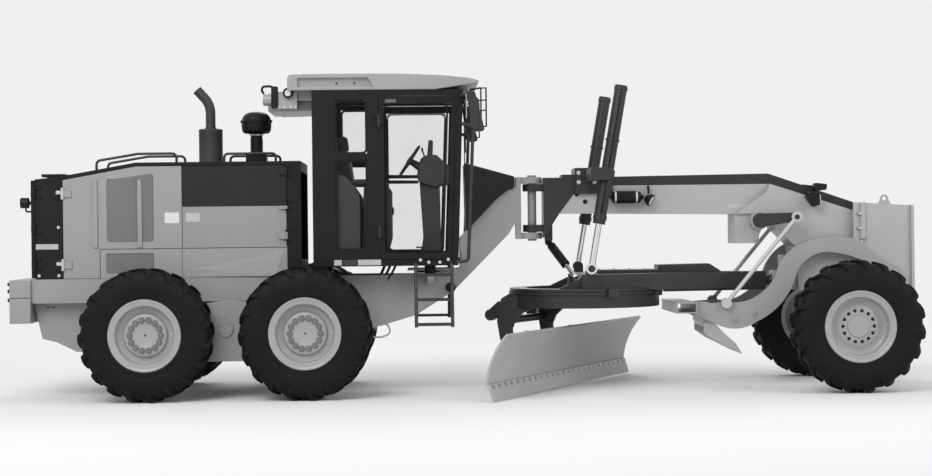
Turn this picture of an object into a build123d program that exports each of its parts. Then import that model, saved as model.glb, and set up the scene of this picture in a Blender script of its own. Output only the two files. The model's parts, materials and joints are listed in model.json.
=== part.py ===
from build123d import *
from math import atan2, cos, degrees, hypot, pi, radians, sin
import os

# Six-wheel motor grader with a mid-mounted blade and scarifier. Millimetres, +X forward, +Y to the
# machine's left, +Z up. The origin is on the ground, under the middle of the whole machine.
# Outlines are short tables of (x, z) or (x, y) points, each measured from the station it is placed at.

os.makedirs("parts", exist_ok=True)

# ---------------------------------------------------------------- driving sizes
wheelbase = 6160            # tandem pivot to front axle
tandem_spacing = 1540       # between the two rear wheels of a side
track = 2080                # between the wheels' middle planes
tyre_radius = 650
tyre_width = 364
rim_seat_radius = 316
rim_flange_radius = 352
rim_flange = 14             # flange thickness
hub_radius = 190
rear_reach = 2190           # tandem pivot back to the counterweight's face
front_overhang = 765        # front axle forward to the push plate's face
pin_ahead = 3050            # tandem pivot forward to the articulation pin
circle_ahead = 540          # articulation pin forward to the circle's centre
ball_behind = 625           # front axle back to the drawbar's ball

box_half = 330              # half width of the front box

plate = 25                  # frame plate
sheet = 12                  # panels and covers
fit = 0.3                   # gap between seated curved faces
running = 0.05              # radial clearance of pins in their eyes
ball_z = 1080
ball_radius = 70
door_gap = 6                # around doors and between moving pieces

# Stations along the machine
tandem_x = (rear_reach - wheelbase - front_overhang) / 2
axle_x = tandem_x + wheelbase
pin_x = tandem_x + pin_ahead
circle_x = pin_x + circle_ahead
ball_x = axle_x - ball_behind
wheel_z = tyre_radius
wheel_y = track / 2


def at(station, outline):
    """Moves an outline's x values to a station."""
    return [(station + x, z) for x, z in outline]


def side_slab(outline, y_low, y_high):
    """Solid of an (x, z) outline between two y faces."""
    with BuildPart() as slab:
        with BuildSketch(Plane.XZ.offset(-y_high)):
            with BuildLine():
                Polyline(*outline, close=True)
            make_face()
        extrude(amount=y_high - y_low)
    return slab.part


def plan_slab(outline, z_low, z_high):
    """Solid of an (x, y) outline between two heights."""
    with BuildPart() as slab:
        with BuildSketch(Plane.XY.offset(z_low)):
            with BuildLine():
                Polyline(*outline, close=True)
            make_face()
        extrude(amount=z_high - z_low)
    return slab.part


def block(x_low, x_high, y_low, y_high, z_low, z_high):
    """Rectangular solid between two corners."""
    outline = [(x_low, z_low), (x_high, z_low), (x_high, z_high), (x_low, z_high)]
    return side_slab(outline, y_low, y_high)


def disc_y(x, z, radius, y_low, y_high):
    """Round solid whose axis is along Y."""
    with BuildPart() as disc:
        with BuildSketch(Plane.XZ.offset(-y_high)):
            with Locations((x, z)):
                Circle(radius)
        extrude(amount=y_high - y_low)
    return disc.part


def rod(start, end, radius):
    """Round bar between two points."""
    first, last = Vector(*start), Vector(*end)
    with BuildPart() as bar:
        with BuildSketch(Plane(origin=first, z_dir=last - first)):
            Circle(radius)
        extrude(amount=(last - first).length)
    return bar.part


def pipe(points, radius, bend):
    """Round bar along straight runs joined by bends of one radius."""
    with BuildPart() as bar:
        with BuildLine() as route:
            FilletPolyline(*points, radius=bend)
        with BuildSketch(Plane(origin=route.wire() @ 0, z_dir=route.wire() % 0)):
            Circle(radius)
        sweep(path=route.wire())
    return bar.part


hinge_pin = 6
hinge_eye = 13
hinge_half = 35             # half a hinge's moving knuckle
hinge_out = 16              # hinge pin outside the panel's face


def hinge_post(x, y, z, to_x, to_y):
    """Fixed half of a door's hinge: a pin between two lugs that reach back to (to_x, to_y)."""
    with BuildPart() as post:
        with Locations((x, y, z)):
            Cylinder(hinge_pin, hinge_half * 2 + 44)
        for side in (1, -1):
            low, high = sorted((z + side * (hinge_half + 2), z + side * (hinge_half + 22)))
            with Locations((x, y, (low + high) / 2)):
                Cylinder(hinge_eye, high - low)
            add(block(*sorted((x, to_x)), *sorted((y, to_y)), low, high))
    return post.part


def hinge_leaf(x, y, z, to_x, to_y):
    """Moving half of a door's hinge: a bored knuckle on a leaf that reaches to (to_x, to_y)."""
    with BuildPart() as leaf:
        with Locations((x, y, z)):
            Cylinder(hinge_eye, hinge_half * 2)
        add(block(*sorted((x, to_x)), *sorted((y, to_y)), z - hinge_half, z + hinge_half))
        with Locations((x, y, z)):
            Cylinder(hinge_pin + running, hinge_half * 2 + 2, mode=Mode.SUBTRACT)
    return leaf.part


def save(piece, name):
    """Labels a finished piece and writes it."""
    piece.label = name
    export_step(piece, f"parts/{name}.step")


# ---------------------------------------------------------------- wheels
# Rows are (distance outwards from the wheel's middle plane, radius).
half_tyre = tyre_width / 2
tread_half = half_tyre - 10
rim_half = half_tyre - 26
bead = rim_half - rim_flange - fit
tread_depth = 38
lug_count = 19              # lugs on each half of the tread, the halves half a pitch apart
WALL = [(-bead + 15, rim_seat_radius), (-half_tyre, rim_flange_radius + 138), (-tread_half, tyre_radius - 60)]
LUG = [(-tread_half + 32, tyre_radius), (12, tyre_radius)]
GROOVE = [(12, tyre_radius - tread_depth), (tread_half - 32, tyre_radius - tread_depth)]
TYRE_SECTION = WALL + LUG + GROOVE + [(-out, r) for out, r in reversed(WALL)]
disc_face = 48              # how far the wheel's disc stands out of the middle plane
RIM_SECTION = [
    (-rim_half, rim_flange_radius),
    (-rim_half + rim_flange, rim_flange_radius),
    (-rim_half + rim_flange, rim_seat_radius),
    (rim_half - rim_flange, rim_seat_radius),
    (rim_half - rim_flange, rim_flange_radius),
    (rim_half, rim_flange_radius),
    (rim_half, rim_seat_radius),
    (rim_half - 30, rim_seat_radius - 20),
    (disc_face + 12, rim_seat_radius - 34),
    (disc_face, rim_seat_radius - 54),
    (disc_face, hub_radius + 6),
    (disc_face + 28, hub_radius - 12),
    (disc_face + 28, 0),
    (disc_face - 28, 0),
    (disc_face - 28, rim_seat_radius - 24),
    (-rim_half + 30, rim_seat_radius - 20),
    (-rim_half, rim_seat_radius),
]
rim_back = disc_face - 28   # where the hubs meet the disc


def wheel_ring(section, x, side):
    """Revolves a wheel's section about its axle, on the machine's left or right."""
    with BuildPart() as ring:
        with BuildSketch(Plane.XY):
            with BuildLine():
                Polyline(*[(side * (wheel_y + out), r) for out, r in section], close=True)
            make_face()
        revolve(axis=Axis.X)
    return ring.part.rotate(Axis.Z, 90).translate((x, 0, wheel_z))


def tyre_sector(section, start, end):
    """Flat-faced slice of a tyre between two angles round its axle, which is the Y axis here."""
    with BuildPart() as sector:
        for turn in (start, end):
            with BuildSketch(Plane(origin=(0, 0, 0), x_dir=(0, 1, 0), z_dir=(cos(turn), 0, -sin(turn)))):
                with BuildLine():
                    Polyline(*section, close=True)
                make_face()
        loft(ruled=True)
    return sector.part


# Slices carry a lug on one half of the tread and on the other by turns. A flat stands on the ground.
half_pitch = pi / lug_count
flat = 1 / cos(half_pitch / 2)
TREAD_SLICE = [(out, r * flat) for out, r in TYRE_SECTION]
left_slice = tyre_sector(TREAD_SLICE, -half_pitch / 2, half_pitch / 2)
right_slice = tyre_sector([(-out, r) for out, r in TREAD_SLICE], half_pitch / 2, 3 * half_pitch / 2)
with BuildPart() as tyre:
    for lug in range(lug_count):
        add(left_slice.rotate(Axis.Y, 360 * lug / lug_count))
        add(right_slice.rotate(Axis.Y, 360 * lug / lug_count))

WHEEL_STATIONS = [
    ("rear", tandem_x - tandem_spacing / 2),
    ("middle", tandem_x + tandem_spacing / 2),
    ("front", axle_x),
]
SIDES = [("left", 1), ("right", -1)]
for row_name, station in WHEEL_STATIONS:
    for side_name, side in SIDES:
        save(tyre.part.translate((station, side * wheel_y, wheel_z)), f"tyre_{row_name}_{side_name}")
        save(wheel_ring(RIM_SECTION, station, side), f"rim_{row_name}_{side_name}")

# ---------------------------------------------------------------- tandem cases
case_inner = 590
case_outer = 790
stub_radius = 95
TANDEM_CASE = [
    (-1010, 520), (-930, 400), (-780, 366), (780, 366), (930, 400), (1010, 520),
    (1010, 800), (930, 900), (240, 935), (0, 965), (-240, 935), (-930, 900), (-1010, 800),
]
with BuildPart() as tandem_cases:
    add(side_slab(at(tandem_x, TANDEM_CASE), case_inner, case_outer))
    for row_name, station in WHEEL_STATIONS[:2]:
        add(disc_y(station, wheel_z, stub_radius, case_outer, wheel_y + rim_back - fit))
    add(disc_y(tandem_x - 30, wheel_z + 30, 72, case_outer, case_outer + 14))
    mirror(about=Plane.XZ)
save(tandem_cases.part, "tandem_cases")

# ---------------------------------------------------------------- rear frame
rail_outer = 420
band_top = 1190
band_half = 556
portal_front = 705
neck_half = 330
ear_half = 150
pin_radius = 45
ear_radius = 100
REAR_HULL = [
    (-1930, band_top), (-1980, band_top - 30), (-1980, 930), (-1903, 590), (-1760, 554),
    (-1560, 455), (-1000, 455), (-860, 560), (900, 560), (1445, 668), (1500, 690), (1500, band_top),
]
REAR_HULL_INSIDE = [
    (-1925, band_top + 1), (-1955, 930), (-1880, 612), (-1750, 580),
    (-1550, 480), (-1010, 480), (-870, 585), (900, 585), (1440, 692), (1475, 705), (1475, band_top + 1),
]
NECK = [
    (1475, 675), (1841, 779), (2228, 1018), (2800, 1590), (2860, 1690), (2900, 1700), (2900, 2060),
    (2800, 2040), (2674, 1944), (2377, 1634), (2300, 1556), (2300, 1250), (2060, band_top), (1475, band_top),
]
NECK_PLAN = [
    (1475, -rail_outer), (2100, -neck_half), (2900, -ear_half),
    (2900, ear_half), (2100, neck_half), (1475, rail_outer),
]
# (lower face, upper face) of the rear frame's ears and of the front casting's knuckles between them
REAR_EARS = [(1535, 1600), (2105, 2170)]
FRONT_KNUCKLES = [(1606, 1680), (2025, 2099)]
ear_back = pin_x - 150
BAND = [(-1980, 962), (portal_front, 962), (portal_front, band_top), (-1980, band_top)]
with BuildPart() as neck:
    add(side_slab(at(tandem_x, NECK), -rail_outer, rail_outer))
    add(plan_slab(at(tandem_x, NECK_PLAN), 600, 2200), mode=Mode.INTERSECT)
with BuildPart() as rear_frame:
    add(side_slab(at(tandem_x, REAR_HULL), -rail_outer, rail_outer))
    add(side_slab(at(tandem_x, REAR_HULL_INSIDE), -rail_outer + plate, rail_outer - plate), mode=Mode.SUBTRACT)
    add(neck.part)
    # side bands that carry the hood's panels
    for side in (1, -1):
        add(side_slab(at(tandem_x, BAND), *sorted((side * (band_half - plate), side * band_half))))
        add(block(tandem_x - 1980, tandem_x + portal_front, *sorted((side * (rail_outer - 1), side * band_half)),
                  band_top - plate, band_top))
    add(block(ear_back - 20, ear_back + 30, -ear_half, ear_half, REAR_EARS[0][0], REAR_EARS[1][1]))
    for low, high in REAR_EARS:
        add(block(ear_back, pin_x, -ear_radius, ear_radius, low, high))
        with Locations((pin_x, 0, (low + high) / 2)):
            Cylinder(ear_radius, high - low)
    with Locations((pin_x, 0, (REAR_EARS[0][0] + REAR_EARS[1][1]) / 2)):
        Cylinder(pin_radius, REAR_EARS[1][1] - REAR_EARS[0][0] + 40)
    # pivots that carry the tandem cases
    for side in (1, -1):
        inner, outer = sorted((side * (rail_outer - 1), side * (case_inner - fit)))
        add(disc_y(tandem_x, wheel_z + 30, 190, inner, outer))
    # cross beam under the cab and its four mounts
    add(block(tandem_x + 880, tandem_x + 940, -700, 700, band_top - 150, band_top))
    add(block(tandem_x + 1960, tandem_x + 2020, -700, 700, band_top - 90, band_top))
save(rear_frame.part, "rear_frame")

cwt_low, cwt_high = 753, 1185
with BuildPart() as counterweight:
    add(block(tandem_x - rear_reach, tandem_x - 1980, -600, 600, cwt_low, cwt_high))
save(counterweight.part, "counterweight")

# ---------------------------------------------------------------- engine module
hood_half = 560
hood_low = band_top + fit
sill_top = 1480             # lower fixed panels end here and the side doors begin
cooling_back = -1973        # from the tandem pivot: rear face of the cooling package
cooling_front = -1662
hood_break = -933           # the hood's top slopes down behind this
door_split = -477           # between the rear and front side doors
hood_front = 565
top_high = 2343             # hood's flat top
top_rear = 2215             # hood's top where it meets the cooling package
top_sheet = 34
door_low_step = -1297       # the rear door steps up over the lower panel ahead of this
door_thick = 34

# Black cooling package: four walls round a core, with its own door at the back
COOLING_SIDE = [
    (cooling_back + door_thick + door_gap, hood_low), (cooling_front, hood_low),
    (cooling_front, top_rear), (cooling_back + door_thick + door_gap, top_rear - 30),
]
COOLING_INSIDE = [
    (cooling_back, hood_low + 40), (cooling_front - 90, hood_low + 40),
    (cooling_front - 90, top_rear - 50), (cooling_back, top_rear - 66),
]
REAR_HINGES = (2040, 1330)
GRILLE_HINGES = (2050, 1700, 1340)
grille_door_face = tandem_x + cooling_back
grille_hinge_x = grille_door_face + door_thick + 3
with BuildPart() as cooling_box:
    add(side_slab(at(tandem_x, COOLING_SIDE), -hood_half, hood_half))
    add(side_slab(at(tandem_x, COOLING_INSIDE), -hood_half + 40, hood_half - 40), mode=Mode.SUBTRACT)
    # pins for the rear side doors and for the grille door
    for side in (1, -1):
        for z in REAR_HINGES:
            add(hinge_post(tandem_x + cooling_front + 3, side * (hood_half + hinge_out), z,
                           tandem_x + cooling_front - 60, side * (hood_half - 1)))
    for z in GRILLE_HINGES:
        add(hinge_post(grille_hinge_x, -hood_half - hinge_out, z, grille_hinge_x + 60, -hood_half + 1))
    # stepped cap over the core
    add(block(tandem_x + cooling_back + 80, tandem_x + cooling_front, -430, 430,
              top_rear - 1, top_rear + 26))
save(cooling_box.part, "cooling_box")

# Rear door of the cooling package: a framed grille with horizontal slats and two lamps
with BuildPart() as rear_grille_door:
    add(block(grille_door_face, grille_door_face + door_thick, -hood_half, hood_half,
              hood_low + 10, top_rear - 40))
    add(block(grille_door_face - 1, grille_door_face + door_thick + 1, -hood_half + 70, hood_half - 70,
              hood_low + 80, top_rear - 110), mode=Mode.SUBTRACT)
    slat_count = 12
    slat_pitch = (top_rear - 110 - hood_low - 80) / slat_count
    for slat in range(slat_count):
        z = hood_low + 80 + slat_pitch * (slat + 0.5)
        add(block(grille_door_face + 8, grille_door_face + 22, -hood_half + 69, hood_half - 69, z - 14, z + 14))
    for z in GRILLE_HINGES:
        add(hinge_leaf(grille_hinge_x, -hood_half - hinge_out, z, grille_door_face + 2, -hood_half + 1))
    for side in (1, -1):
        add(rod((grille_door_face - 30, side * (hood_half - 35), 1952),
                (grille_door_face + 4, side * (hood_half - 35), 1952), 18))
        add(rod((grille_door_face - 95, side * (hood_half - 35), 1952),
                (grille_door_face - 29, side * (hood_half - 35), 1952), 52))
save(rear_grille_door.part, "rear_grille_door")

# Black top panel and the portal frame in front of the side doors
TOP_PANEL = [
    (cooling_front + fit, top_rear - top_sheet), (hood_break, top_high - top_sheet),
    (hood_front + fit, top_high - top_sheet), (hood_front + fit, top_high), (hood_break, top_high),
    (cooling_front + fit, top_rear),
]
FRONT_HINGES = (2240, 1900, 1600)
with BuildPart() as hood_frame:
    add(side_slab(at(tandem_x, TOP_PANEL), -hood_half, hood_half))
    add(block(tandem_x + hood_front + fit, tandem_x + portal_front, -hood_half - 8, hood_half + 8,
              hood_low + 78, top_high))
    add(block(tandem_x + hood_front, tandem_x + portal_front + 5, -hood_half + 60, hood_half - 60,
              hood_low + 158, top_high - 100), mode=Mode.SUBTRACT)
    add(block(tandem_x + hood_front + fit, tandem_x + portal_front, -hood_half + 8, hood_half - 8,
              band_top, hood_low + 79))
    for side in (1, -1):
        for z in FRONT_HINGES:
            add(hinge_post(tandem_x + hood_front - 3, side * (hood_half + 8 + hinge_out), z,
                           tandem_x + hood_front + 50, side * (hood_half + 7)))
save(hood_frame.part, "hood_frame")

# Fixed lower panels with the folded facet ahead of the split and a grille behind it
grille_rear = -1215
grille_front = -765
LOWER_PANEL = [
    (door_low_step + door_gap, hood_low), (hood_front, hood_low),
    (hood_front, sill_top), (door_low_step + door_gap, sill_top),
]
facet_out = 26
with BuildPart() as hood_lower_panels:
    add(side_slab(at(tandem_x, LOWER_PANEL), hood_half - sheet * 2, hood_half))
    # facet: a flat wedge that stands out towards its front lower corner
    with BuildSketch(Plane.XY.offset(hood_low + 10)):
        with BuildLine():
            Polyline((tandem_x + door_split + 20, hood_half - 1), (tandem_x + hood_front - 120, hood_half + facet_out),
                     (tandem_x + hood_front - 8, hood_half - 1), close=True)
        make_face()
    with BuildSketch(Plane.XY.offset(sill_top - 20)):
        with BuildLine():
            Polyline((tandem_x + hood_front - 60, hood_half - 1), (tandem_x + hood_front - 40, hood_half + 1),
                     (tandem_x + hood_front - 8, hood_half - 1), close=True)
        make_face()
    loft()
    mirror(about=Plane.XZ)
save(hood_lower_panels.part, "hood_lower_panels")

# Side doors: the rear one is hinged on the cooling package, the front one on the portal
REAR_DOOR = [
    (cooling_front + door_gap, hood_low + 4), (door_low_step, hood_low + 4), (door_low_step, sill_top + door_gap),
    (door_split - door_gap / 2, sill_top + door_gap), (door_split - door_gap / 2, top_high - top_sheet - door_gap),
    (hood_break, top_high - top_sheet - door_gap), (cooling_front + door_gap, top_rear - top_sheet - door_gap),
]
FRONT_DOOR = [
    (door_split + door_gap / 2, sill_top + door_gap), (hood_front - door_gap, sill_top + door_gap),
    (hood_front - door_gap, top_high - top_sheet - door_gap),
    (door_split + door_gap / 2, top_high - top_sheet - door_gap),
]
# (distance ahead of the tandem pivot) of the two pressed ribs on the rear door
RIBS = [-1335, -895]
louvre_count = 9
with BuildPart() as hood_door_rear:
    add(side_slab(at(tandem_x, REAR_DOOR), hood_half - door_thick, hood_half))
    add(block(tandem_x + grille_rear, tandem_x + grille_front, hood_half - door_thick - 1, hood_half + 1, 1560, 2180),
        mode=Mode.SUBTRACT)
    louvre_pitch = 620 / louvre_count
    for louvre in range(louvre_count):
        z = 1560 + louvre_pitch * (louvre + 0.5)
        add(block(tandem_x + grille_rear - 1, tandem_x + grille_front + 1, hood_half - 20, hood_half - 8, z - 24, z + 24))
    for z in REAR_HINGES:
        add(hinge_leaf(tandem_x + cooling_front + 3, hood_half + hinge_out, z,
                       tandem_x + cooling_front + 90, hood_half - 1))
    for x in RIBS:
        add(block(tandem_x + x - 20, tandem_x + x + 20, hood_half - 1, hood_half + 22, 1500, 2170))
with BuildPart() as hood_door_front:
    add(side_slab(at(tandem_x, FRONT_DOOR), hood_half - door_thick, hood_half))
    for z in FRONT_HINGES:
        add(hinge_leaf(tandem_x + hood_front - 3, hood_half + 8 + hinge_out, z,
                       tandem_x + hood_front - 80, hood_half - 1))
for name, door in (("rear", hood_door_rear.part), ("front", hood_door_front.part)):
    save(door, f"hood_door_{name}_left")
    save(mirror(door, about=Plane.XZ, mode=Mode.PRIVATE), f"hood_door_{name}_right")

# Engine as one plain block on the frame's cross plates
with BuildPart() as engine:
    add(block(tandem_x - 1250, tandem_x + 250, -300, 300, 900, 1900))
    add(block(tandem_x - 1100, tandem_x - 900, -rail_outer + plate, rail_outer - plate, 860, 900))
    add(block(tandem_x + 0, tandem_x + 200, -rail_outer + plate, rail_outer - plate, 860, 900))
save(engine.part, "engine")

# Exhaust stack: a muffler and a pipe that bends backwards
stack_x = tandem_x - 247
muffler_radius = 121
pipe_radius = 54
muffler_top = 2700
with BuildPart() as exhaust_stack:
    with Locations((stack_x, 0, (top_high + muffler_top) / 2)):
        Cylinder(muffler_radius, muffler_top - top_high)
    add(pipe([(stack_x, 0, muffler_top - 5), (stack_x, 0, 2965), (stack_x - 140, 0, 3120)], pipe_radius, 110))
save(exhaust_stack.part, "exhaust_stack")

# Air pre-cleaner: a domed cap over a stem on a black base
cleaner_x = tandem_x + 222
CLEANER_SECTION = [
    (0, top_high), (66, top_high), (66, 2648), (128, 2648), (150, 2680), (153, 2760), (140, 2820), (96, 2868), (0, 2875),
]
with BuildPart() as air_precleaner:
    with BuildSketch(Plane.XZ):
        with BuildLine():
            Polyline(*CLEANER_SECTION, close=True)
        make_face()
    revolve(axis=Axis.Z)
    add(air_precleaner.part.translate((cleaner_x, 0, 0)), mode=Mode.REPLACE)
    add(block(cleaner_x - 105, cleaner_x + 105, -105, 105, top_high, top_high + 95))
save(air_precleaner.part, "air_precleaner")

# ---------------------------------------------------------------- cab
cab_half = 750
cab_back = 835
cab_front_low = 2268        # windscreen foot
cab_front_high = 2333       # windscreen head
floor_low = 1285
floor_top = 1385
head_low = 2970
head_top = 3028
post = 60
b_post_back = 1407
b_post_front = 1491
window_back = 1040
CAB_SHELL = [(cab_back, floor_low), (cab_front_low, floor_low), (cab_front_high, head_top), (cab_back, head_top)]
CAB_ROOM = [
    (cab_back + post, floor_top), (cab_front_low - post, floor_top),
    (cab_front_high - post, head_low), (cab_back + post, head_low),
]
lean = (cab_front_high - cab_front_low) / (head_top - floor_low)


def screen_x(z):
    """Distance of the windscreen plane ahead of the tandem pivot at a height."""
    return cab_front_low + lean * (z - floor_low)


door_foot = floor_top - 40
CAB_HINGES = (2720, 1620)
cab_hinge_x = tandem_x + b_post_front + 3
DOORWAY = [
    (b_post_front, door_foot), (screen_x(door_foot) - post, door_foot),
    (screen_x(head_low) - post, head_low), (b_post_front, head_low),
]
with BuildPart() as cab_frame:
    add(side_slab(at(tandem_x, CAB_SHELL), -cab_half, cab_half))
    add(side_slab(at(tandem_x, CAB_ROOM), -cab_half + post, cab_half - post), mode=Mode.SUBTRACT)
    # doorways on both sides
    for low, high in ((cab_half - post - 1, cab_half + 1), (-cab_half - 1, -cab_half + post + 1)):
        add(side_slab(at(tandem_x, DOORWAY), low, high), mode=Mode.SUBTRACT)
        for z_low, z_high in ((1447, 2335), (2400, 2930)):
            add(block(tandem_x + window_back + 20, tandem_x + b_post_back - 30, low, high, z_low, z_high),
                mode=Mode.SUBTRACT)
    # windscreen, lower front pane, rear window and the roof opening
    add(block(tandem_x + cab_front_low - 200, tandem_x + cab_front_high + 50, -cab_half + post, cab_half - post,
              floor_top + 60, head_low - 40), mode=Mode.SUBTRACT)
    add(block(tandem_x + cab_back - 1, tandem_x + cab_back + post + 1, -cab_half + 190, cab_half - 190,
              2150, 2900), mode=Mode.SUBTRACT)
    add(block(tandem_x + cab_back + 150, tandem_x + cab_front_high - 200, -cab_half + 200, cab_half - 200,
              head_low - 1, head_top + 1), mode=Mode.SUBTRACT)
    for side in (1, -1):
        for z in CAB_HINGES:
            add(hinge_post(cab_hinge_x, side * (cab_half + hinge_out), z,
                           cab_hinge_x - 55, side * (cab_half - 1)))
    # feet on the frame's cross beams
    for x in (tandem_x + 910, tandem_x + 1990):
        for y in (-560, 560):
            with Locations((x, y, (band_top + floor_low) / 2)):
                Cylinder(55, floor_low - band_top)
save(cab_frame.part, "cab_frame")

door_thick_cab = 44
DOOR_PANEL = [
    (b_post_front + door_gap, door_foot + door_gap), (screen_x(door_foot) - post - door_gap, door_foot + door_gap),
    (screen_x(head_low) - post - door_gap, head_low - door_gap), (b_post_front + door_gap, head_low - door_gap),
]
DOOR_GLASS = [
    (b_post_front + 55, door_foot + 70), (screen_x(door_foot) - post - 50, door_foot + 70),
    (screen_x(head_low) - post - 52, head_low - 80), (b_post_front + 55, head_low - 80),
]
glass = 8
with BuildPart() as cab_door:
    add(side_slab(at(tandem_x, DOOR_PANEL), cab_half - door_thick_cab, cab_half))
    add(side_slab(at(tandem_x, DOOR_GLASS), cab_half - door_thick_cab - 1, cab_half + 1), mode=Mode.SUBTRACT)
    for z in CAB_HINGES:
        add(hinge_leaf(cab_hinge_x, cab_half + hinge_out, z, cab_hinge_x + 50, cab_half - 1))
    handle_x = tandem_x + screen_x(2000) - post - 26
    add(rod((handle_x, cab_half - 1, 1900), (handle_x, cab_half + 40, 1900), 14))
    add(rod((handle_x, cab_half + 34, 1880), (handle_x, cab_half + 34, 2040), 13))
with BuildPart() as cab_door_glass:
    add(side_slab(at(tandem_x, DOOR_GLASS), cab_half - door_thick_cab / 2 - glass / 2, cab_half - door_thick_cab / 2 + glass / 2))
for name, piece in (("cab_door", cab_door.part), ("cab_door_glass", cab_door_glass.part)):
    save(piece, f"{name}_left")
    save(mirror(piece, about=Plane.XZ, mode=Mode.PRIVATE), f"{name}_right")

# Fixed panes: four side windows, the windscreen and the rear window
SCREEN_PANE = [
    (screen_x(floor_top + 60) - 34, floor_top + 60), (screen_x(floor_top + 60) - 34 + glass, floor_top + 60),
    (screen_x(head_low - 40) - 34 + glass, head_low - 40), (screen_x(head_low - 40) - 34, head_low - 40),
]
with BuildPart() as cab_glass:
    for z_low, z_high in ((1447, 2335), (2400, 2930)):
        add(block(tandem_x + window_back + 20, tandem_x + b_post_back - 30, cab_half - 30, cab_half - 30 + glass, z_low, z_high))
    mirror(about=Plane.XZ)
    add(side_slab(at(tandem_x, SCREEN_PANE), -cab_half + post, cab_half - post))
    add(block(tandem_x + cab_back + 26, tandem_x + cab_back + 26 + glass, -cab_half + 190, cab_half - 190, 2150, 2900))
save(cab_glass.part, "cab_glass")

# Roof: a crowned cap with a recess along each rear side
ROOF = [
    (600, head_top + fit), (2060, head_top + fit), (2480, 3090), (2497, 3112), (2400, 3142), (2100, 3172), (1700, 3190),
    (1000, 3196), (620, 3190), (596, 3150),
]
ROOF_RECESS = [(700, 3060), (1440, 3060), (1390, 3150), (700, 3150)]
with BuildPart() as cab_roof:
    add(side_slab(at(tandem_x, ROOF), -cab_half - 20, cab_half + 20))
    for low, high in ((cab_half - 22, cab_half + 21), (-cab_half - 21, -cab_half + 22)):
        add(side_slab(at(tandem_x, ROOF_RECESS), low, high), mode=Mode.SUBTRACT)
save(cab_roof.part, "cab_roof")

# Air-conditioning box and lamps behind the cab's head
with BuildPart() as roof_boxes:
    add(block(tandem_x + 380, tandem_x + cab_back - fit, -430, 430, 2850, head_top))
    for side in (1, -1):
        add(block(tandem_x + 470, tandem_x + cab_back - 150, side * 560 - 90, side * 560 + 90, 2860, head_top))
        add(block(tandem_x + cab_back - 150, tandem_x + cab_back - fit, side * 560 - 40, side * 560 + 40, 2940, head_top))
        add(rod((tandem_x + 350, side * 600, 2950), (tandem_x + 471, side * 600, 2950), 58))
save(roof_boxes.part, "roof_boxes")

# Seat, armrest pods and the steering column
with BuildPart() as operator_seat:
    add(block(tandem_x + 1180, tandem_x + 1480, -200, 200, floor_top, 1760))
    add(block(tandem_x + 1120, tandem_x + 1620, -250, 250, 1760, 1880))
    add(side_slab(at(tandem_x, [(1120, 1860), (1240, 1860), (1190, 2420), (1150, 2560), (1060, 2560), (1050, 2400)]), -230, 230))
    for side in (1, -1):
        add(block(tandem_x + 1180, tandem_x + 1560, side * 300 - 50, side * 300 + 50, 2080, 2150))
        add(block(tandem_x + 1190, tandem_x + 1250, side * 250 - 50, side * 250 + 50, 1880, 2090))
save(operator_seat.part, "operator_seat")

CONSOLE = [
    (1900, floor_top), (2120, floor_top), (2080, 2190), (2150, 2300), (2080, 2440), (1900, 2420), (1850, 2280), (1900, 2180),
]
wheel_tilt = 32
with BuildPart() as steering_wheel:
    Torus(180, 15)
    Box(340, 34, 16)
    Box(34, 340, 16)
with BuildPart() as control_console:
    add(side_slab(at(tandem_x, CONSOLE), -150, 150))
    for side in (1, -1):
        add(rod((tandem_x + 1970, side * 110, 2420), (tandem_x + 2000, side * 110, 2560), 24))
    add(rod((tandem_x + 1900, 0, 2300), (tandem_x + 1795, 0, 2356), 26))
    add(steering_wheel.part.rotate(Axis.Y, -90 + wheel_tilt).translate((tandem_x + 1790, 0, 2358)))
save(control_console.part, "control_console")

# Mirrors, ladders and grab rails share one node: tubes and pads bolted round the cab
ladder_back = 1846
ladder_front = 2200
ladder_y = 1010
step_low = 690
with BuildPart() as ladders_and_rails:
    for x in (ladder_back, ladder_front):
        add(pipe([(tandem_x + x, cab_half + fit, 1312), (tandem_x + x, 850, 1312),
                  (tandem_x + x, ladder_y, step_low)], 17, 40))
    for z, depth in ((715, 90), (955, 90), (1195, 110)):
        y = ladder_y + 20 - (z - step_low) * (ladder_y - 850) / (1312 - step_low)
        add(block(tandem_x + ladder_back, tandem_x + ladder_front, y - depth, y, z - 14, z + 14))
    # grab rail beside the windscreen
    rail_y = cab_half + 90
    add(pipe([(tandem_x + 2236, cab_half + fit, 1318), (tandem_x + 2236, rail_y, 1318), (tandem_x + 2365, rail_y, 1330),
              (tandem_x + 2425, rail_y, 2640), (tandem_x + 2300, rail_y, 2690), (tandem_x + 2300, cab_half + fit, 2690)],
             17, 38))
    # mirror on its bracket
    add(pipe([(tandem_x + 2308, cab_half + fit, 2960), (tandem_x + 2308, 850, 2960), (tandem_x + 2430, 990, 2960),
              (tandem_x + 2440, 990, 2880)], 16, 36))
    add(side_slab(at(tandem_x, [(2400, 2620), (2470, 2610), (2480, 2900), (2420, 2960), (2390, 2900)]), 930, 1090))
    mirror(about=Plane.XZ)
    # low rails along the hood's top
    hood_slope = (top_high - top_rear) / (hood_break - cooling_front)
    rail_foot = top_high + hood_slope * (-1360 - hood_break) + 3
    HOOD_RAIL = [(-1360, rail_foot), (-1360, 2372), (-940, 2440), (-556, 2440), (-556, top_high + fit)]
    for y, ends in ((-330, HOOD_RAIL), (330, HOOD_RAIL)):
        add(pipe([(tandem_x + x, y, z) for x, z in ends], 13, 45))
    for y in (-300, 300):
        add(pipe([(tandem_x - 80, y, top_high + fit), (tandem_x - 80, y, top_high + 90),
                  (tandem_x + 440, y, top_high + 90), (tandem_x + 440, y, top_high + fit)], 13, 40))
save(ladders_and_rails.part, "ladders_and_rails")

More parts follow.
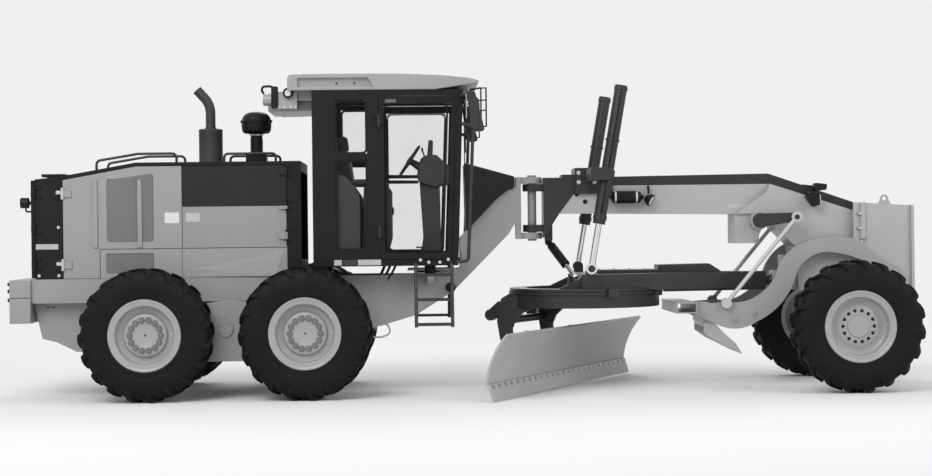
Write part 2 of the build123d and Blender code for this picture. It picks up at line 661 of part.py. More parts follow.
# Dark cover over the neck, ahead of the windscreen
COWL = [
    (2382, 1640), (2674, 1944 + fit), (2800, 2040 + fit), (2862, 2053 + fit), (2862, 2178), (2349, 2315), (2349, 2280), (2360, 1640),
]
with BuildPart() as neck_cowl:
    add(side_slab(at(tandem_x, COWL), -neck_half - 20, neck_half + 20))
    add(plan_slab(at(tandem_x, [(2340, -neck_half - 20), (2862, -ear_half - 40), (2862, ear_half + 40), (2340, neck_half + 20)]),
                  1500, 2400), mode=Mode.INTERSECT)
save(neck_cowl.part, "neck_cowl")

# ---------------------------------------------------------------- front frame
beam_half = 160
nose_half = box_half - 80
# from the front box outwards: the scarifier's arms, the levers of its crank and its links
scar_in = box_half + 20
scar_out = scar_in + 50
lever_in = scar_out - 6
lever_out = lever_in + 24
link_in = lever_out + 6
link_out = link_in + 44
beam_low_rear, beam_low_front = 1787, 1767
beam_top_rear, beam_top_kink = 2160, 2179
saddle_top = 2256
trunnion_ahead = 699        # articulation pin forward to the lift cylinders' trunnions
trunnion_z = 2172
trunnion_radius = 32
lift_y = 770                # lift cylinders' planes
barrel_radius = 62
fork_gap = 20               # between a lift cylinder's barrel and its fork
CASTING = [(110, 1545), (150, 1600), (270, 1790), (430, 2000), (430, 2160), (110, 2160)]
with BuildPart() as front_casting:
    add(side_slab(at(pin_x, CASTING), -beam_half + 5, beam_half - 5))
    for low, high in FRONT_KNUCKLES:
        add(block(pin_x, pin_x + 112, -95, 95, low, high))
        with Locations((pin_x, 0, (low + high) / 2)):
            Cylinder(95, high - low)
    with Locations((pin_x, 0, 1850)):
        Cylinder(pin_radius + running, 640, mode=Mode.SUBTRACT)
    # saddle round the beam
    add(block(pin_x + 429, pin_x + 820, -beam_half - 40, beam_half + 40, 1990, saddle_top))
    add(block(pin_x + 428, pin_x + 821, -beam_half - fit, beam_half + fit, 1989, beam_top_rear + 8), mode=Mode.SUBTRACT)
    add(block(pin_x + 300, pin_x + 433, -beam_half + 5, beam_half - 5, 2150, 2190))
    # cup for the circle-shift cylinder's ball
    add(block(pin_x + 132, pin_x + 212, 20, 100, 1516, 1700))
    with Locations((pin_x + 172, 60, 1500)):
        Sphere(38 + fit, mode=Mode.SUBTRACT)
    # arms and forks that carry the lift cylinders
    arm_back, arm_front = trunnion_ahead - 170, trunnion_ahead - barrel_radius - fork_gap - 14
    fork_in = lift_y - barrel_radius - fork_gap
    fork_out = lift_y + barrel_radius + fork_gap
    for side in (1, -1):
        inner, outer = sorted((side * (beam_half + 39), side * (fork_out + 34)))
        add(block(pin_x + arm_back, pin_x + arm_front, inner, outer, 2110, 2235))
        for low, high in ((fork_in - 34, fork_in), (fork_out, fork_out + 34)):
            inner, outer = sorted((side * low, side * high))
            add(block(pin_x + arm_back, pin_x + trunnion_ahead, inner, outer, 2110, 2235))
            add(disc_y(pin_x + trunnion_ahead, trunnion_z, 63, inner, outer))
            add(disc_y(pin_x + trunnion_ahead, trunnion_z, trunnion_radius + running, inner - 1, outer + 1),
                mode=Mode.SUBTRACT)
save(front_casting.part, "front_casting")

# Box beam with its nose: the first points are placed from the pin, the others from the front axle
BEAM_REAR = [(434, 2004), (274, 1794)]
BEAM_FRONT = [(-1032, beam_low_front), (-720, beam_low_front), (-150, 1700), (189, 1700), (189, 1877), (-687, beam_top_kink)]
NOSE = [
    (-1040, 1767), (-845, 1767), (-845, 1465), (-760, 1640), (-640, 1640), (-430, 1430), (-400, 980), (300, 980),
    (300, 1775), (189, 1784), (-688, 2072), (-720, 1990),
]
crank_ahead = -818          # front axle back to the scarifier's crank shaft
crank_z = 1697
crank_radius = 40
axle_pin_z = 800
with BuildPart() as front_frame:
    add(side_slab(at(pin_x, BEAM_REAR) + at(axle_x, BEAM_FRONT) + [(pin_x + 434, beam_top_rear)], -beam_half, beam_half))
    add(side_slab(at(axle_x, NOSE), -nose_half, nose_half))
    # box that carries the crank shaft, and the room for the axle inside the nose
    add(block(axle_x - 1042, axle_x - 800, -beam_half - 60, beam_half + 60, 1465, 1768))
    add(block(axle_x - 440, axle_x + 301, -nose_half + plate, nose_half - plate, 900, 1330), mode=Mode.SUBTRACT)
    # socket bracket for the drawbar's ball, and the lugs that carry the front axle
    add(block(ball_x - 12, ball_x + 235, -96, 96, ball_z - 100, ball_z + 100))
    add(block(ball_x + 80, ball_x + 235, -90, 90, ball_z, 1340))
    with Locations((ball_x, 0, ball_z)):
        Sphere(ball_radius + 0.5, mode=Mode.SUBTRACT)
    for x in (axle_x - 190, axle_x + 150):
        add(block(x, x + 40, -90, 90, 720, 1335))
        add(rod((x, 0, axle_pin_z), (x + 40, 0, axle_pin_z), 90))
    add(rod((axle_x - 205, 0, axle_pin_z), (axle_x + 205, 0, axle_pin_z), 50))
    # crank shaft bearings
    for side in (1, -1):
        inner, outer = sorted((side * (beam_half + 59), side * (lever_in - 12)))
        add(disc_y(axle_x + crank_ahead, crank_z, 92, inner, outer))
    add(disc_y(axle_x + crank_ahead, crank_z, crank_radius + running, -lever_in, lever_in), mode=Mode.SUBTRACT)
save(front_frame.part, "front_frame")

# Front box with its push plate: side plates, a top plate and the plate itself
box_back = 150
BOX_SIDE = [(box_back, 1872), (box_back, 1430), (260, 1240), (620, 1010), (660, 925), (front_overhang - 29, 925), (front_overhang - 29, 1836)]
scar_pivot = (540, 1150)    # scarifier's pivots, from the front axle
scar_pin = 35
eye_x = 553
eye_z = 1912
eye_radius = 22
with BuildPart() as push_block:
    for side in (1, -1):
        inner, outer = sorted((side * (box_half - plate), side * box_half))
        add(side_slab(at(axle_x, BOX_SIDE), inner, outer))
        add(rod((axle_x + 245, side * box_half, 1500), (axle_x + 245, side * box_half, 1870), 34))
        add(disc_y(axle_x + scar_pivot[0], scar_pivot[1], scar_pin, *sorted((side * (box_half - 1), side * (scar_out + 12)))))
    add(side_slab(at(axle_x, [(301, 1862), (301, 1838), (front_overhang - 28, 1812), (front_overhang - 28, 1836)]),
                  -box_half + 1, box_half - 1))
    add(block(axle_x + 301, axle_x + 330, -box_half + 1, box_half - 1, 1330, 1850))
    add(block(axle_x + 301, axle_x + 560, -box_half + plate, box_half - plate, 1300, 1332))
    add(block(axle_x + front_overhang - 30, axle_x + front_overhang, -box_half - 30, box_half + 30, 921, 1838))
    add(side_slab(at(axle_x, [(480, 1835), (626, 1835), (580, 1940), (526, 1940)]), -12, 12))
    add(disc_y(axle_x + eye_x, eye_z, 42, -12, 12))
    add(disc_y(axle_x + eye_x, eye_z, eye_radius, -13, 13), mode=Mode.SUBTRACT)
save(push_block.part, "push_block")

# Accumulator, lamps and hose guards on the beam
with BuildPart() as beam_fittings:
    for side in (1, -1):
        y = side * (beam_half + 78)
        add(rod((pin_x + 860, y, 1965), (pin_x + 1130, y, 1965), 58))
        for x in (pin_x + 880, pin_x + 1090):
            add(block(x, x + 24, *sorted((side * (beam_half + fit), side * (beam_half + 80))), 1896, 2034))
        add(rod((pin_x + 1215, side * (beam_half + 60), 1900), (pin_x + 1290, side * (beam_half + 60), 1870), 52))
        add(block(pin_x + 1225, pin_x + 1255, *sorted((side * (beam_half + fit), side * (beam_half + 70))), 1890, 2010))
        add(rod((axle_x - 215, side * 230, 2030), (axle_x - 125, side * 230, 2010), 55))
        add(block(axle_x - 200, axle_x - 160, *sorted((side * (beam_half + fit), side * 240)), 1960, 2000))
save(beam_fittings.part, "beam_fittings")

# ---------------------------------------------------------------- front axle, lean brackets and knuckles
lean_z = 500
lean_y = 900                # lean pins and kingpins stand inside the wheels
kingpin_y = lean_y + 30
axle_end = lean_y - 90
kingpin_radius = 38
axle_half = 95
with BuildPart() as front_axle:
    with BuildSketch(Plane.YZ.offset(axle_x - axle_half)):
        with BuildLine():
            Polyline((-axle_end, 420), (axle_end, 420), (axle_end, 600), (260, 700), (150, 900), (-150, 900), (-260, 700), (-axle_end, 600), close=True)
        make_face()
    extrude(amount=axle_half * 2)
    add(rod((axle_x - axle_half - 1, 0, axle_pin_z), (axle_x + axle_half + 1, 0, axle_pin_z), 50 + running), mode=Mode.SUBTRACT)
    for side in (1, -1):
        for x in (axle_x - axle_half, axle_x + axle_half - 40):
            add(block(x, x + 40, *sorted((side * (axle_end - 1), side * lean_y)), lean_z - 55, lean_z + 55))
            add(rod((x, side * lean_y, lean_z), (x + 40, side * lean_y, lean_z), 55))
        add(rod((axle_x - axle_half, side * lean_y, lean_z), (axle_x + axle_half, side * lean_y, lean_z), 30))
save(front_axle.part, "front_axle")

with BuildPart() as lean_bracket:
    # hub on the lean pin, between the axle's two ears
    add(rod((axle_x - 50, lean_y, lean_z), (axle_x + 50, lean_y, lean_z), 52))
    add(block(axle_x - 50, axle_x + 50, lean_y - 35, kingpin_y + 46, lean_z, 600))
    add(rod((axle_x, kingpin_y, 599), (axle_x, kingpin_y, 800), kingpin_radius))
    add(rod((axle_x - 51, lean_y, lean_z), (axle_x + 51, lean_y, lean_z), 30 + running), mode=Mode.SUBTRACT)
with BuildPart() as knuckle:
    add(rod((axle_x, kingpin_y, 606), (axle_x, kingpin_y, 790), 66))
    add(block(axle_x - 60, axle_x + 60, kingpin_y, kingpin_y + 81, 606, 745))
    add(disc_y(axle_x, wheel_z, 120, kingpin_y + 80, wheel_y + rim_back - fit))
    add(rod((axle_x, kingpin_y, 605), (axle_x, kingpin_y, 791), kingpin_radius + running), mode=Mode.SUBTRACT)
for name, piece in (("lean_bracket", lean_bracket.part), ("steering_knuckle", knuckle.part)):
    save(piece, f"{name}_left")
    save(mirror(piece, about=Plane.XZ, mode=Mode.PRIVATE), f"{name}_right")

# ---------------------------------------------------------------- drawbar
draw_low, draw_top = 985, 1175
eye_ahead = 535             # articulation pin forward to the lift rods' eyes
lift_eye_z = 1235
stud_radius = 25
ring_plate_low = 1004
circle_radius = 787
flange_low = 975            # underside of the circle's flange
with BuildPart() as shoe:
    add(block(circle_radius - 19, circle_radius + 40, -55, 55, 950, ring_plate_low + 28))
    with BuildSketch(Plane.XY.offset(flange_low - fit)):
        Circle(circle_radius + 1)
    extrude(amount=ring_plate_low - flange_low + fit, mode=Mode.SUBTRACT)
with BuildPart() as drawbar:
    # two converging legs
    for side in (1, -1):
        leg = [(ball_x - 90, side * 10), (ball_x - 90, side * 85), (circle_x + 60, side * 640), (circle_x + 60, side * 510)]
        add(plan_slab(leg, draw_low + 24, draw_top))
        leg_low = [(ball_x - 90, side * 10), (ball_x - 90, side * 85), (circle_x + 760, side * 344), (circle_x + 860, side * 205)]
        add(plan_slab(leg_low, draw_low, draw_low + 25))
    add(block(ball_x - 330, ball_x - 80, -85, 85, draw_low, draw_top))
    # cross member, its end brackets and the studs of the lift rods
    add(block(circle_x - 90, circle_x + 90, -690, 690, draw_low + 45, draw_top))
    for side in (1, -1):
        add(block(pin_x + eye_ahead - 50, pin_x + eye_ahead + 50, *sorted((side * 660, side * 690)), draw_top - 1, lift_eye_z))
        add(disc_y(pin_x + eye_ahead, lift_eye_z, 50, *sorted((side * 660, side * 690))))
        add(disc_y(pin_x + eye_ahead, lift_eye_z, stud_radius, *sorted((side * 689, side * 850))))
    # annular plate over the circle, and the covers along the top
    with BuildSketch(Plane.XY.offset(ring_plate_low)):
        with Locations((circle_x, 0)):
            Circle(circle_radius - 10)
            Circle(circle_radius - 170, mode=Mode.SUBTRACT)
    extrude(amount=28)
    add(side_slab([(circle_x - 330, 1030), (circle_x + 90, 1030), (circle_x + 30, 1150), (circle_x - 70, 1150)], 560, 600))
    add(side_slab([(circle_x - 330, 1030), (circle_x + 90, 1030), (circle_x + 30, 1150), (circle_x - 70, 1150)], -600, -560))
    add(block(circle_x + 89, circle_x + 740, -230, 230, draw_top - 60, draw_top + 34))
    add(side_slab([(circle_x + 740, draw_top - 10), (circle_x + 740, 1255), (circle_x + 1270, 1262), (circle_x + 1420, draw_top - 10)], -150, 150))
    # shoes that hold the circle's flange
    for angle in (-75, -28, 28, 75):
        add(shoe.part.rotate(Axis.Z, angle).translate((circle_x, 0, 0)))
    # bracket for the circle-shift cylinder's rod, open towards the cylinder
    add(block(circle_x - 210, circle_x - 89, -465, -375, 1040, 1090))
    add(block(circle_x - 210, circle_x - 190, -465, -405, 1089, 1180))
    # ball at the front
    with Locations((ball_x, 0, ball_z)):
        Sphere(ball_radius)
    add(rod((ball_x - 100, 0, ball_z), (ball_x - 20, 0, ball_z), 48))
save(drawbar.part, "drawbar")

# ---------------------------------------------------------------- circle, blade carrier and moldboard
# These are drawn with the blade square to the machine, then turned together about the circle's centre.
blade_yaw = -27
blade_shift = -86           # side shift of the moldboard at rest
blade_back = -169           # circle's centre back to the cutting edge
edge_clear = 15             # cutting edge above the ground
blade_length = 3660
blade_height = 620
arm_in, arm_out = 516, 556
tilt_x, tilt_z = -430, 300
tilt_pin = 34


def turned(piece):
    """Turns a piece drawn square about the origin to the blade's angle under the drawbar."""
    return piece.rotate(Axis.Z, blade_yaw).translate((circle_x, 0, 0))


ARM = [
    (-300, 986), (-600, 986), (-700, 930), (-745, 800), (-750, 690), (-720, 520), (-650, 370), (-540, 262), (-430, 238),
    (-372, 300), (-430, 362), (-520, 430), (-580, 520), (-590, 620), (-550, 710), (-470, 780), (-340, 838),
]
tooth_count = 56
with BuildPart() as circle:
    with BuildSketch(Plane.XY.offset(840)):
        Circle(circle_radius - 24)
        Circle(circle_radius - 130, mode=Mode.SUBTRACT)
        with PolarLocations(circle_radius - 140, tooth_count):
            Trapezoid(34, 26, 66, rotation=90)
    extrude(amount=135)
    with BuildSketch(Plane.XY.offset(975)):
        Circle(circle_radius)
        Circle(circle_radius - 130, mode=Mode.SUBTRACT)
    extrude(amount=23)
    for side in (1, -1):
        inner, outer = sorted((side * arm_in, side * arm_out))
        add(side_slab(ARM, inner, outer))
        add(side_slab([(-700, 860), (-740, 900), (-870, 790), (-800, 720)], *sorted((side * (arm_in - 30), side * arm_in))))
        add(disc_y(-825, 760, 58, *sorted((side * (arm_in - 30), side * (arm_out + 10)))))
        add(side_slab([(-700, 860), (-740, 900), (-870, 790), (-800, 720)], *sorted((side * arm_in, side * (arm_out - 5)))))
        add(disc_y(tilt_x, tilt_z, tilt_pin, *sorted((side * (arm_out - 1), side * (arm_out + 62)))))
    add(block(-470, -430, -arm_in, arm_in, 860, 975))
    add(rod((-700, -arm_in, 700), (-700, arm_in, 700), 40))
save(turned(circle.part), "circle")

# Moldboard section, seen along the blade: the front face is one arc above a flat cutting edge
front_low = (-64, 160)
front_mid = (-22, 345)
front_top = (150, blade_height)
mold_thick = 24
rail_size = 44
LOWER_RAIL = (-132, 205)    # rail centres, from the cutting edge
UPPER_RAIL = (-88, 470)
rail_half = 1150
shift_ram = 24


with BuildPart() as moldboard:
    with BuildSketch(Plane.XZ.offset(-blade_length / 2)):
        with BuildLine():
            ThreePointArc(front_low, front_mid, front_top)
            back_top = (front_top[0] - 18, front_top[1] + 18)
            back_mid = (front_mid[0] - mold_thick, front_mid[1] + 4)
            back_low = (front_low[0] - mold_thick, front_low[1])
            Line(front_top, back_top)
            ThreePointArc(back_top, back_mid, back_low)
            Line(back_low, front_low)
        make_face()
    extrude(amount=blade_length)
    for (x, z), rail_web in ((LOWER_RAIL, 60), (UPPER_RAIL, 112)):
        half = rail_size / 2
        add(block(x - half, x + half, -rail_half, rail_half, z - half, z + half))
        add(block(x, x + rail_web, -rail_half, rail_half, z - 9, z + 9))
    # lug and rod of the side-shift cylinder
    add(block(-230, 60, 1030, 1060, 500, 560))
    add(rod((-190, -150, 530), (-190, 1031, 530), shift_ram))
moldboard_at = (blade_back, blade_shift, edge_clear)
save(turned(moldboard.part.translate(moldboard_at)), "moldboard")

with BuildPart() as cutting_edge:
    with BuildSketch(Plane.XZ.offset(-blade_length / 2)):
        with BuildLine():
            Polyline((0, 0), (-12, 0), (-88, 160 - fit), (-64, 160 - fit), (-50, 160 - fit), (-8, 20), close=True)
        make_face()
    extrude(amount=blade_length)
save(turned(cutting_edge.part.translate(moldboard_at)), "cutting_edge")

rail_gap = 1
with BuildPart() as blade_carrier:
    bracket_in, bracket_out = arm_out + door_gap, arm_out + door_gap + 44
    tilt_rel = (tilt_x - blade_back, tilt_z - edge_clear)
    CARRIER = [
        (tilt_rel[0] - 62, tilt_rel[1]), (tilt_rel[0] - 30, tilt_rel[1] - 60), (-200, 150), (-104, 150), (-104, 260),
        (-150, 300), (-150, 400), (-70, 430), (-70, 515), (-140, 590), (-250, 590), (tilt_rel[0] - 20, tilt_rel[1] + 60),
    ]
    for side in (1, -1):
        add(side_slab(CARRIER, *sorted((side * bracket_in, side * bracket_out))))
        add(disc_y(*tilt_rel, 62, *sorted((side * bracket_in, side * bracket_out))))
    for x, z in (LOWER_RAIL, UPPER_RAIL):
        half = rail_size / 2 + rail_gap
        add(block(x - half, x + half + 60, -bracket_out - 1, bracket_out + 1, z - half, z + half), mode=Mode.SUBTRACT)
    add(disc_y(*tilt_rel, tilt_pin + running, -bracket_out - 1, bracket_out + 1), mode=Mode.SUBTRACT)
    # barrel of the side-shift cylinder across the brackets
    add(rod((-190, -bracket_out, 530), (-190, 300, 530), 42))
    add(rod((-190, -bracket_out + 16, 530), (-190, 301, 530), shift_ram + running), mode=Mode.SUBTRACT)
    add(rod((-190, bracket_in - 1, 530), (-190, bracket_out + 1, 530), shift_ram + 5), mode=Mode.SUBTRACT)
    add(block(-196, -158, -bracket_in, bracket_in, 300, 380))
carrier_at = (blade_back, 0, edge_clear)
save(turned(blade_carrier.part.translate(carrier_at)), "blade_carrier")

# ---------------------------------------------------------------- lift cylinders
trunnion = Vector(pin_x + trunnion_ahead, 0, trunnion_z)
lift_eye = Vector(pin_x + eye_ahead, 0, lift_eye_z)
lift_axis = (trunnion - lift_eye).normalized()
lift_rod_radius = 32
lift_bore = 48
barrel_up, barrel_down = 890, 500
with BuildPart() as lift_barrels:
    for side in (1, -1):
        middle = trunnion + Vector(0, side * lift_y, 0)
        add(rod(middle - lift_axis * barrel_down, middle + lift_axis * barrel_up, barrel_radius))
        add(disc_y(trunnion.X, trunnion_z, trunnion_radius, side * lift_y - barrel_radius - fork_gap - 30, side * lift_y + barrel_radius + fork_gap + 30))
        add(rod(middle - lift_axis * 45, middle + lift_axis * 45, barrel_radius + 14))
        add(rod(middle + lift_axis * 330, middle + lift_axis * 350, barrel_radius + 9))
        add(rod(middle - lift_axis * (barrel_down - 60), middle + lift_axis * (barrel_up - 40), lift_bore), mode=Mode.SUBTRACT)
        add(rod(middle - lift_axis * (barrel_down + 1), middle - lift_axis * (barrel_down - 61), lift_rod_radius + running), mode=Mode.SUBTRACT)
save(lift_barrels.part, "lift_barrels")

lift_length = (trunnion - lift_eye).length
eye_bore = stud_radius + 9
with BuildPart() as lift_rods:
    for side in (1, -1):
        eye = lift_eye + Vector(0, side * lift_y, 0)
        add(rod(eye + lift_axis * 40, eye + lift_axis * (lift_length + 200), lift_rod_radius))
        add(rod(eye + lift_axis * (lift_length + 150), eye + lift_axis * (lift_length + 200), lift_bore - running))
        add(disc_y(eye.X, eye.Z, 56, side * lift_y - 34, side * lift_y + 34))
        add(disc_y(eye.X, eye.Z, eye_bore, side * lift_y - 35, side * lift_y + 35), mode=Mode.SUBTRACT)
save(lift_rods.part, "lift_rods")

# ---------------------------------------------------------------- circle-shift cylinder
shift_top = Vector(pin_x + 172, 60, 1500)
shift_low = Vector(circle_x - 140, -420, 1150)
shift_axis = (shift_low - shift_top).normalized()
shift_length = (shift_low - shift_top).length
with BuildPart() as shift_barrel:
    add(rod(shift_top, shift_top + shift_axis * 73, 22))
    add(rod(shift_top + shift_axis * 72, shift_top + shift_axis * 420, 45))
    add(rod(shift_top + shift_axis * 80, shift_top + shift_axis * 421, 24 + running), mode=Mode.SUBTRACT)
    with Locations(shift_top):
        Sphere(38)
save(shift_barrel.part, "shift_barrel")
with BuildPart() as shift_rod:
    add(rod(shift_top + shift_axis * 280, shift_low - shift_axis * 20, 24))
    with Locations(shift_low):
        Sphere(30)
save(shift_rod.part, "shift_rod")

# ---------------------------------------------------------------- scarifier
link_eye = 26
crank_end = (-455, 1728)    # from the front axle
link_low = (-1180, 862)
beam_reach = scar_out + 150
FOOT = [(-1166, 874), (-1480, 850), (-1480, 740), (-1250, 640)]
# arcs of an arm's outline from its foot round the wheel to the pivot and back: (through, end)
ARM_ARCS = [
    ((-1060, 602), (-861, 673)), ((-650, 815), (-460, 1135)), ((-320, 1315), (-59, 1363)), ((185, 1296), (430, 1150)),
    ((535, 1100), (620, 1180)), ((420, 1300), (197, 1486)), ((-140, 1522), (-467, 1423)), ((-591, 1293), (-664, 1121)),
    ((-778, 991), (-932, 891)), ((-1050, 868), (-1166, 874)),
]
with BuildPart() as scarifier_frame:
    for side in (1, -1):
        inner, outer = sorted((side * scar_in, side * scar_out))
        with BuildSketch(Plane.XZ.offset(-outer)):
            with BuildLine():
                Polyline(*at(axle_x, FOOT))
                start = at(axle_x, FOOT)[-1]
                for arc in ARM_ARCS:
                    through, end = at(axle_x, arc)
                    ThreePointArc(start, through, end)
                    start = end
            make_face()
        extrude(amount=outer - inner)
        add(disc_y(axle_x + scar_pivot[0], scar_pivot[1], 80, inner, outer))
        add(disc_y(axle_x + scar_pivot[0], scar_pivot[1], scar_pin + running, inner - 1, outer + 1), mode=Mode.SUBTRACT)
        add(disc_y(axle_x + link_low[0], link_low[1], 52, *sorted((side * (scar_out - 1), side * (scar_out + 12)))))
    # hollow box beam
    add(block(axle_x - 1700, axle_x - 1490, -beam_reach, beam_reach, 768, 880))
    add(block(axle_x - 1688, axle_x - 1502, -beam_reach - 1, beam_reach + 1, 780, 868), mode=Mode.SUBTRACT)
    for side in (1, -1):
        add(block(axle_x - 1491, axle_x - 1399, *sorted((side * (scar_in - 40), side * (scar_in + 1))), 770, 850))
    # tooth bar
    add(block(axle_x - 1400, axle_x - 1275, -scar_in - 1, scar_in + 1, 660, 850))
save(scarifier_frame.part, "scarifier_frame")

SHANK = [(-1392, 660), (-1280, 660), (-1190, 560), (-1070, 452), (-998, 337), (-1120, 400), (-1280, 480), (-1392, 560)]
shank_count = 7
shank_span = 2 * scar_in - 100
with BuildPart() as scarifier_shanks:
    for shank in range(shank_count):
        y = shank_span * (shank / (shank_count - 1) - 0.5)
        add(side_slab(at(axle_x, SHANK), y - 16, y + 16))
    add(block(axle_x - 1392, axle_x - 1283, -shank_span / 2 - 20, shank_span / 2 + 20, 620, 660))
save(scarifier_shanks.part, "scarifier_shanks")

with BuildPart() as scarifier_crank:
    add(disc_y(axle_x + crank_ahead, crank_z, crank_radius, -lever_in - 1, lever_in + 1))
    for side in (1, -1):
        inner, outer = sorted((side * lever_in, side * lever_out))
        add(side_slab(at(axle_x, [(crank_ahead, crank_z - 70), (crank_ahead, crank_z + 70), (crank_end[0], crank_end[1] + 45), (crank_end[0], crank_end[1] - 45)]), inner, outer))
        add(disc_y(axle_x + crank_ahead, crank_z, 76, inner, outer))
        add(disc_y(axle_x + crank_end[0], crank_end[1], 46, inner, outer))
        add(disc_y(axle_x + crank_end[0], crank_end[1], link_eye, *sorted((side * (lever_out - 1), side * (link_out + 8)))))
save(scarifier_crank.part, "scarifier_crank")
link_y = (link_in + link_out) / 2
with BuildPart() as scarifier_links:
    for side in (1, -1):
        y = side * link_y
        add(rod((axle_x + link_low[0], y, link_low[1]), (axle_x + crank_end[0], y, crank_end[1]), 21))
        inner, outer = sorted((side * link_in, side * link_out))
        for x, z in (crank_end, link_low):
            add(disc_y(axle_x + x, z, 52, inner, outer))
        add(disc_y(axle_x + crank_end[0], crank_end[1], link_eye + running, inner - 1, outer + 1), mode=Mode.SUBTRACT)
        # pin that stops just short of the boss on the arm
        add(disc_y(axle_x + link_low[0], link_low[1], 34, *sorted((side * (link_in + 1), side * (scar_out + 18)))))
save(scarifier_links.part, "scarifier_links")
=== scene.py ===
"""Looks of an articulated motor grader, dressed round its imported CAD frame."""
import json
import logging
import math
from dataclasses import dataclass, field
from enum import Enum
from functools import cache
from typing import Any, Iterable, Sequence

import bmesh
import bpy
from mathutils import Matrix, Vector


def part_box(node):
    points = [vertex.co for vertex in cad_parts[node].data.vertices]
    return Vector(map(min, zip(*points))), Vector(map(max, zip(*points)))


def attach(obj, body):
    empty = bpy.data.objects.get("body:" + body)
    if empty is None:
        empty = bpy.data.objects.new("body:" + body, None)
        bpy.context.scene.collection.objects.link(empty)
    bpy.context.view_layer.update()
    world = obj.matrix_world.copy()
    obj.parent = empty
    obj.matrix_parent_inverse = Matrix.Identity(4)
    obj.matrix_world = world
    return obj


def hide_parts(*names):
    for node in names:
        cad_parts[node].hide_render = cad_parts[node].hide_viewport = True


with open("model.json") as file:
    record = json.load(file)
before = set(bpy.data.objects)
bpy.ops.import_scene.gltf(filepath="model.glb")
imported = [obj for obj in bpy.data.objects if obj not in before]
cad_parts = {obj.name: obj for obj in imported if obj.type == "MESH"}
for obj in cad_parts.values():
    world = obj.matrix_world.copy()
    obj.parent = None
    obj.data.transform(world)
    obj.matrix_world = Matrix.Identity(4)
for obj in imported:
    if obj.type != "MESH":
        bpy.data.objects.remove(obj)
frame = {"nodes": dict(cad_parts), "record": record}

LOG = logging.getLogger("grader")
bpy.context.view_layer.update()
Point = Sequence[float]
SHARP_ANGLE = math.radians(32.0)
REAR = "rear_chassis"
FRONT = "front_chassis"


class Side(Enum):
    """Which side of the machine a piece is on."""

    LEFT = 1
    RIGHT = -1

    @property
    def label(self) -> str:
        """Lower-case name used in node names."""
        return self.name.lower()

    def __mul__(self, distance: float) -> float:
        """Signed distance from the middle plane."""
        return self.value * distance

    @property
    def out(self) -> Vector:
        """Direction away from the machine's middle plane."""
        return Vector((0, self.value, 0))


class Lay(Enum):
    """Plane in which a flat outline is drawn, named by its two axes."""

    XZ = "xz"
    XY = "xy"
    YZ = "yz"


def box_middle(node: str) -> Vector:
    """Middle of a node's box at rest."""
    low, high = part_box(node)
    return (Vector(low) + Vector(high)) / 2


TANDEM_X = (box_middle("tyre_rear_left").x + box_middle("tyre_middle_left").x) / 2
TYRE_RADIUS = (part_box("tyre_rear_left")[1][2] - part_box("tyre_rear_left")[0][2]) / 2


# ---- node graphs
class Wire:
    """One output socket, with arithmetic that adds Math nodes."""

    def __init__(self, graph: "Graph", socket: bpy.types.NodeSocket) -> None:
        """Keeps the graph and the socket."""
        self.graph = graph
        self.socket = socket

    def _math(self, operation: str, first: Any, second: Any = None) -> "Wire":
        """Adds one Math node.

        Args:
            operation: the node's operation.
            first: left value or wire.
            second: right value or wire.

        Returns:
            The node's output.
        """
        sockets = {0: first}
        if second is not None:
            sockets[1] = second
        return self.graph.add("ShaderNodeMath", {"operation": operation}, sockets)

    def __add__(self, other: Any) -> "Wire":
        """Sum."""
        return self._math("ADD", self, other)

    def __radd__(self, other: Any) -> "Wire":
        """Sum, reflected."""
        return self._math("ADD", other, self)

    def __sub__(self, other: Any) -> "Wire":
        """Difference."""
        return self._math("SUBTRACT", self, other)

    def __rsub__(self, other: Any) -> "Wire":
        """Difference, reflected."""
        return self._math("SUBTRACT", other, self)

    def __mul__(self, other: Any) -> "Wire":
        """Product."""
        return self._math("MULTIPLY", self, other)

    def __rmul__(self, other: Any) -> "Wire":
        """Product, reflected."""
        return self._math("MULTIPLY", other, self)

    def __truediv__(self, other: Any) -> "Wire":
        """Quotient."""
        return self._math("DIVIDE", self, other)

    def __gt__(self, other: Any) -> "Wire":
        """One where this is greater, else zero."""
        return self._math("GREATER_THAN", self, other)

    def clamp(self) -> "Wire":
        """Held between zero and one."""
        return self._math("MINIMUM", self._math("MAXIMUM", self, 0.0), 1.0)

    def above(self, other: Any) -> "Wire":
        """Greater of two."""
        return self._math("MAXIMUM", self, other)


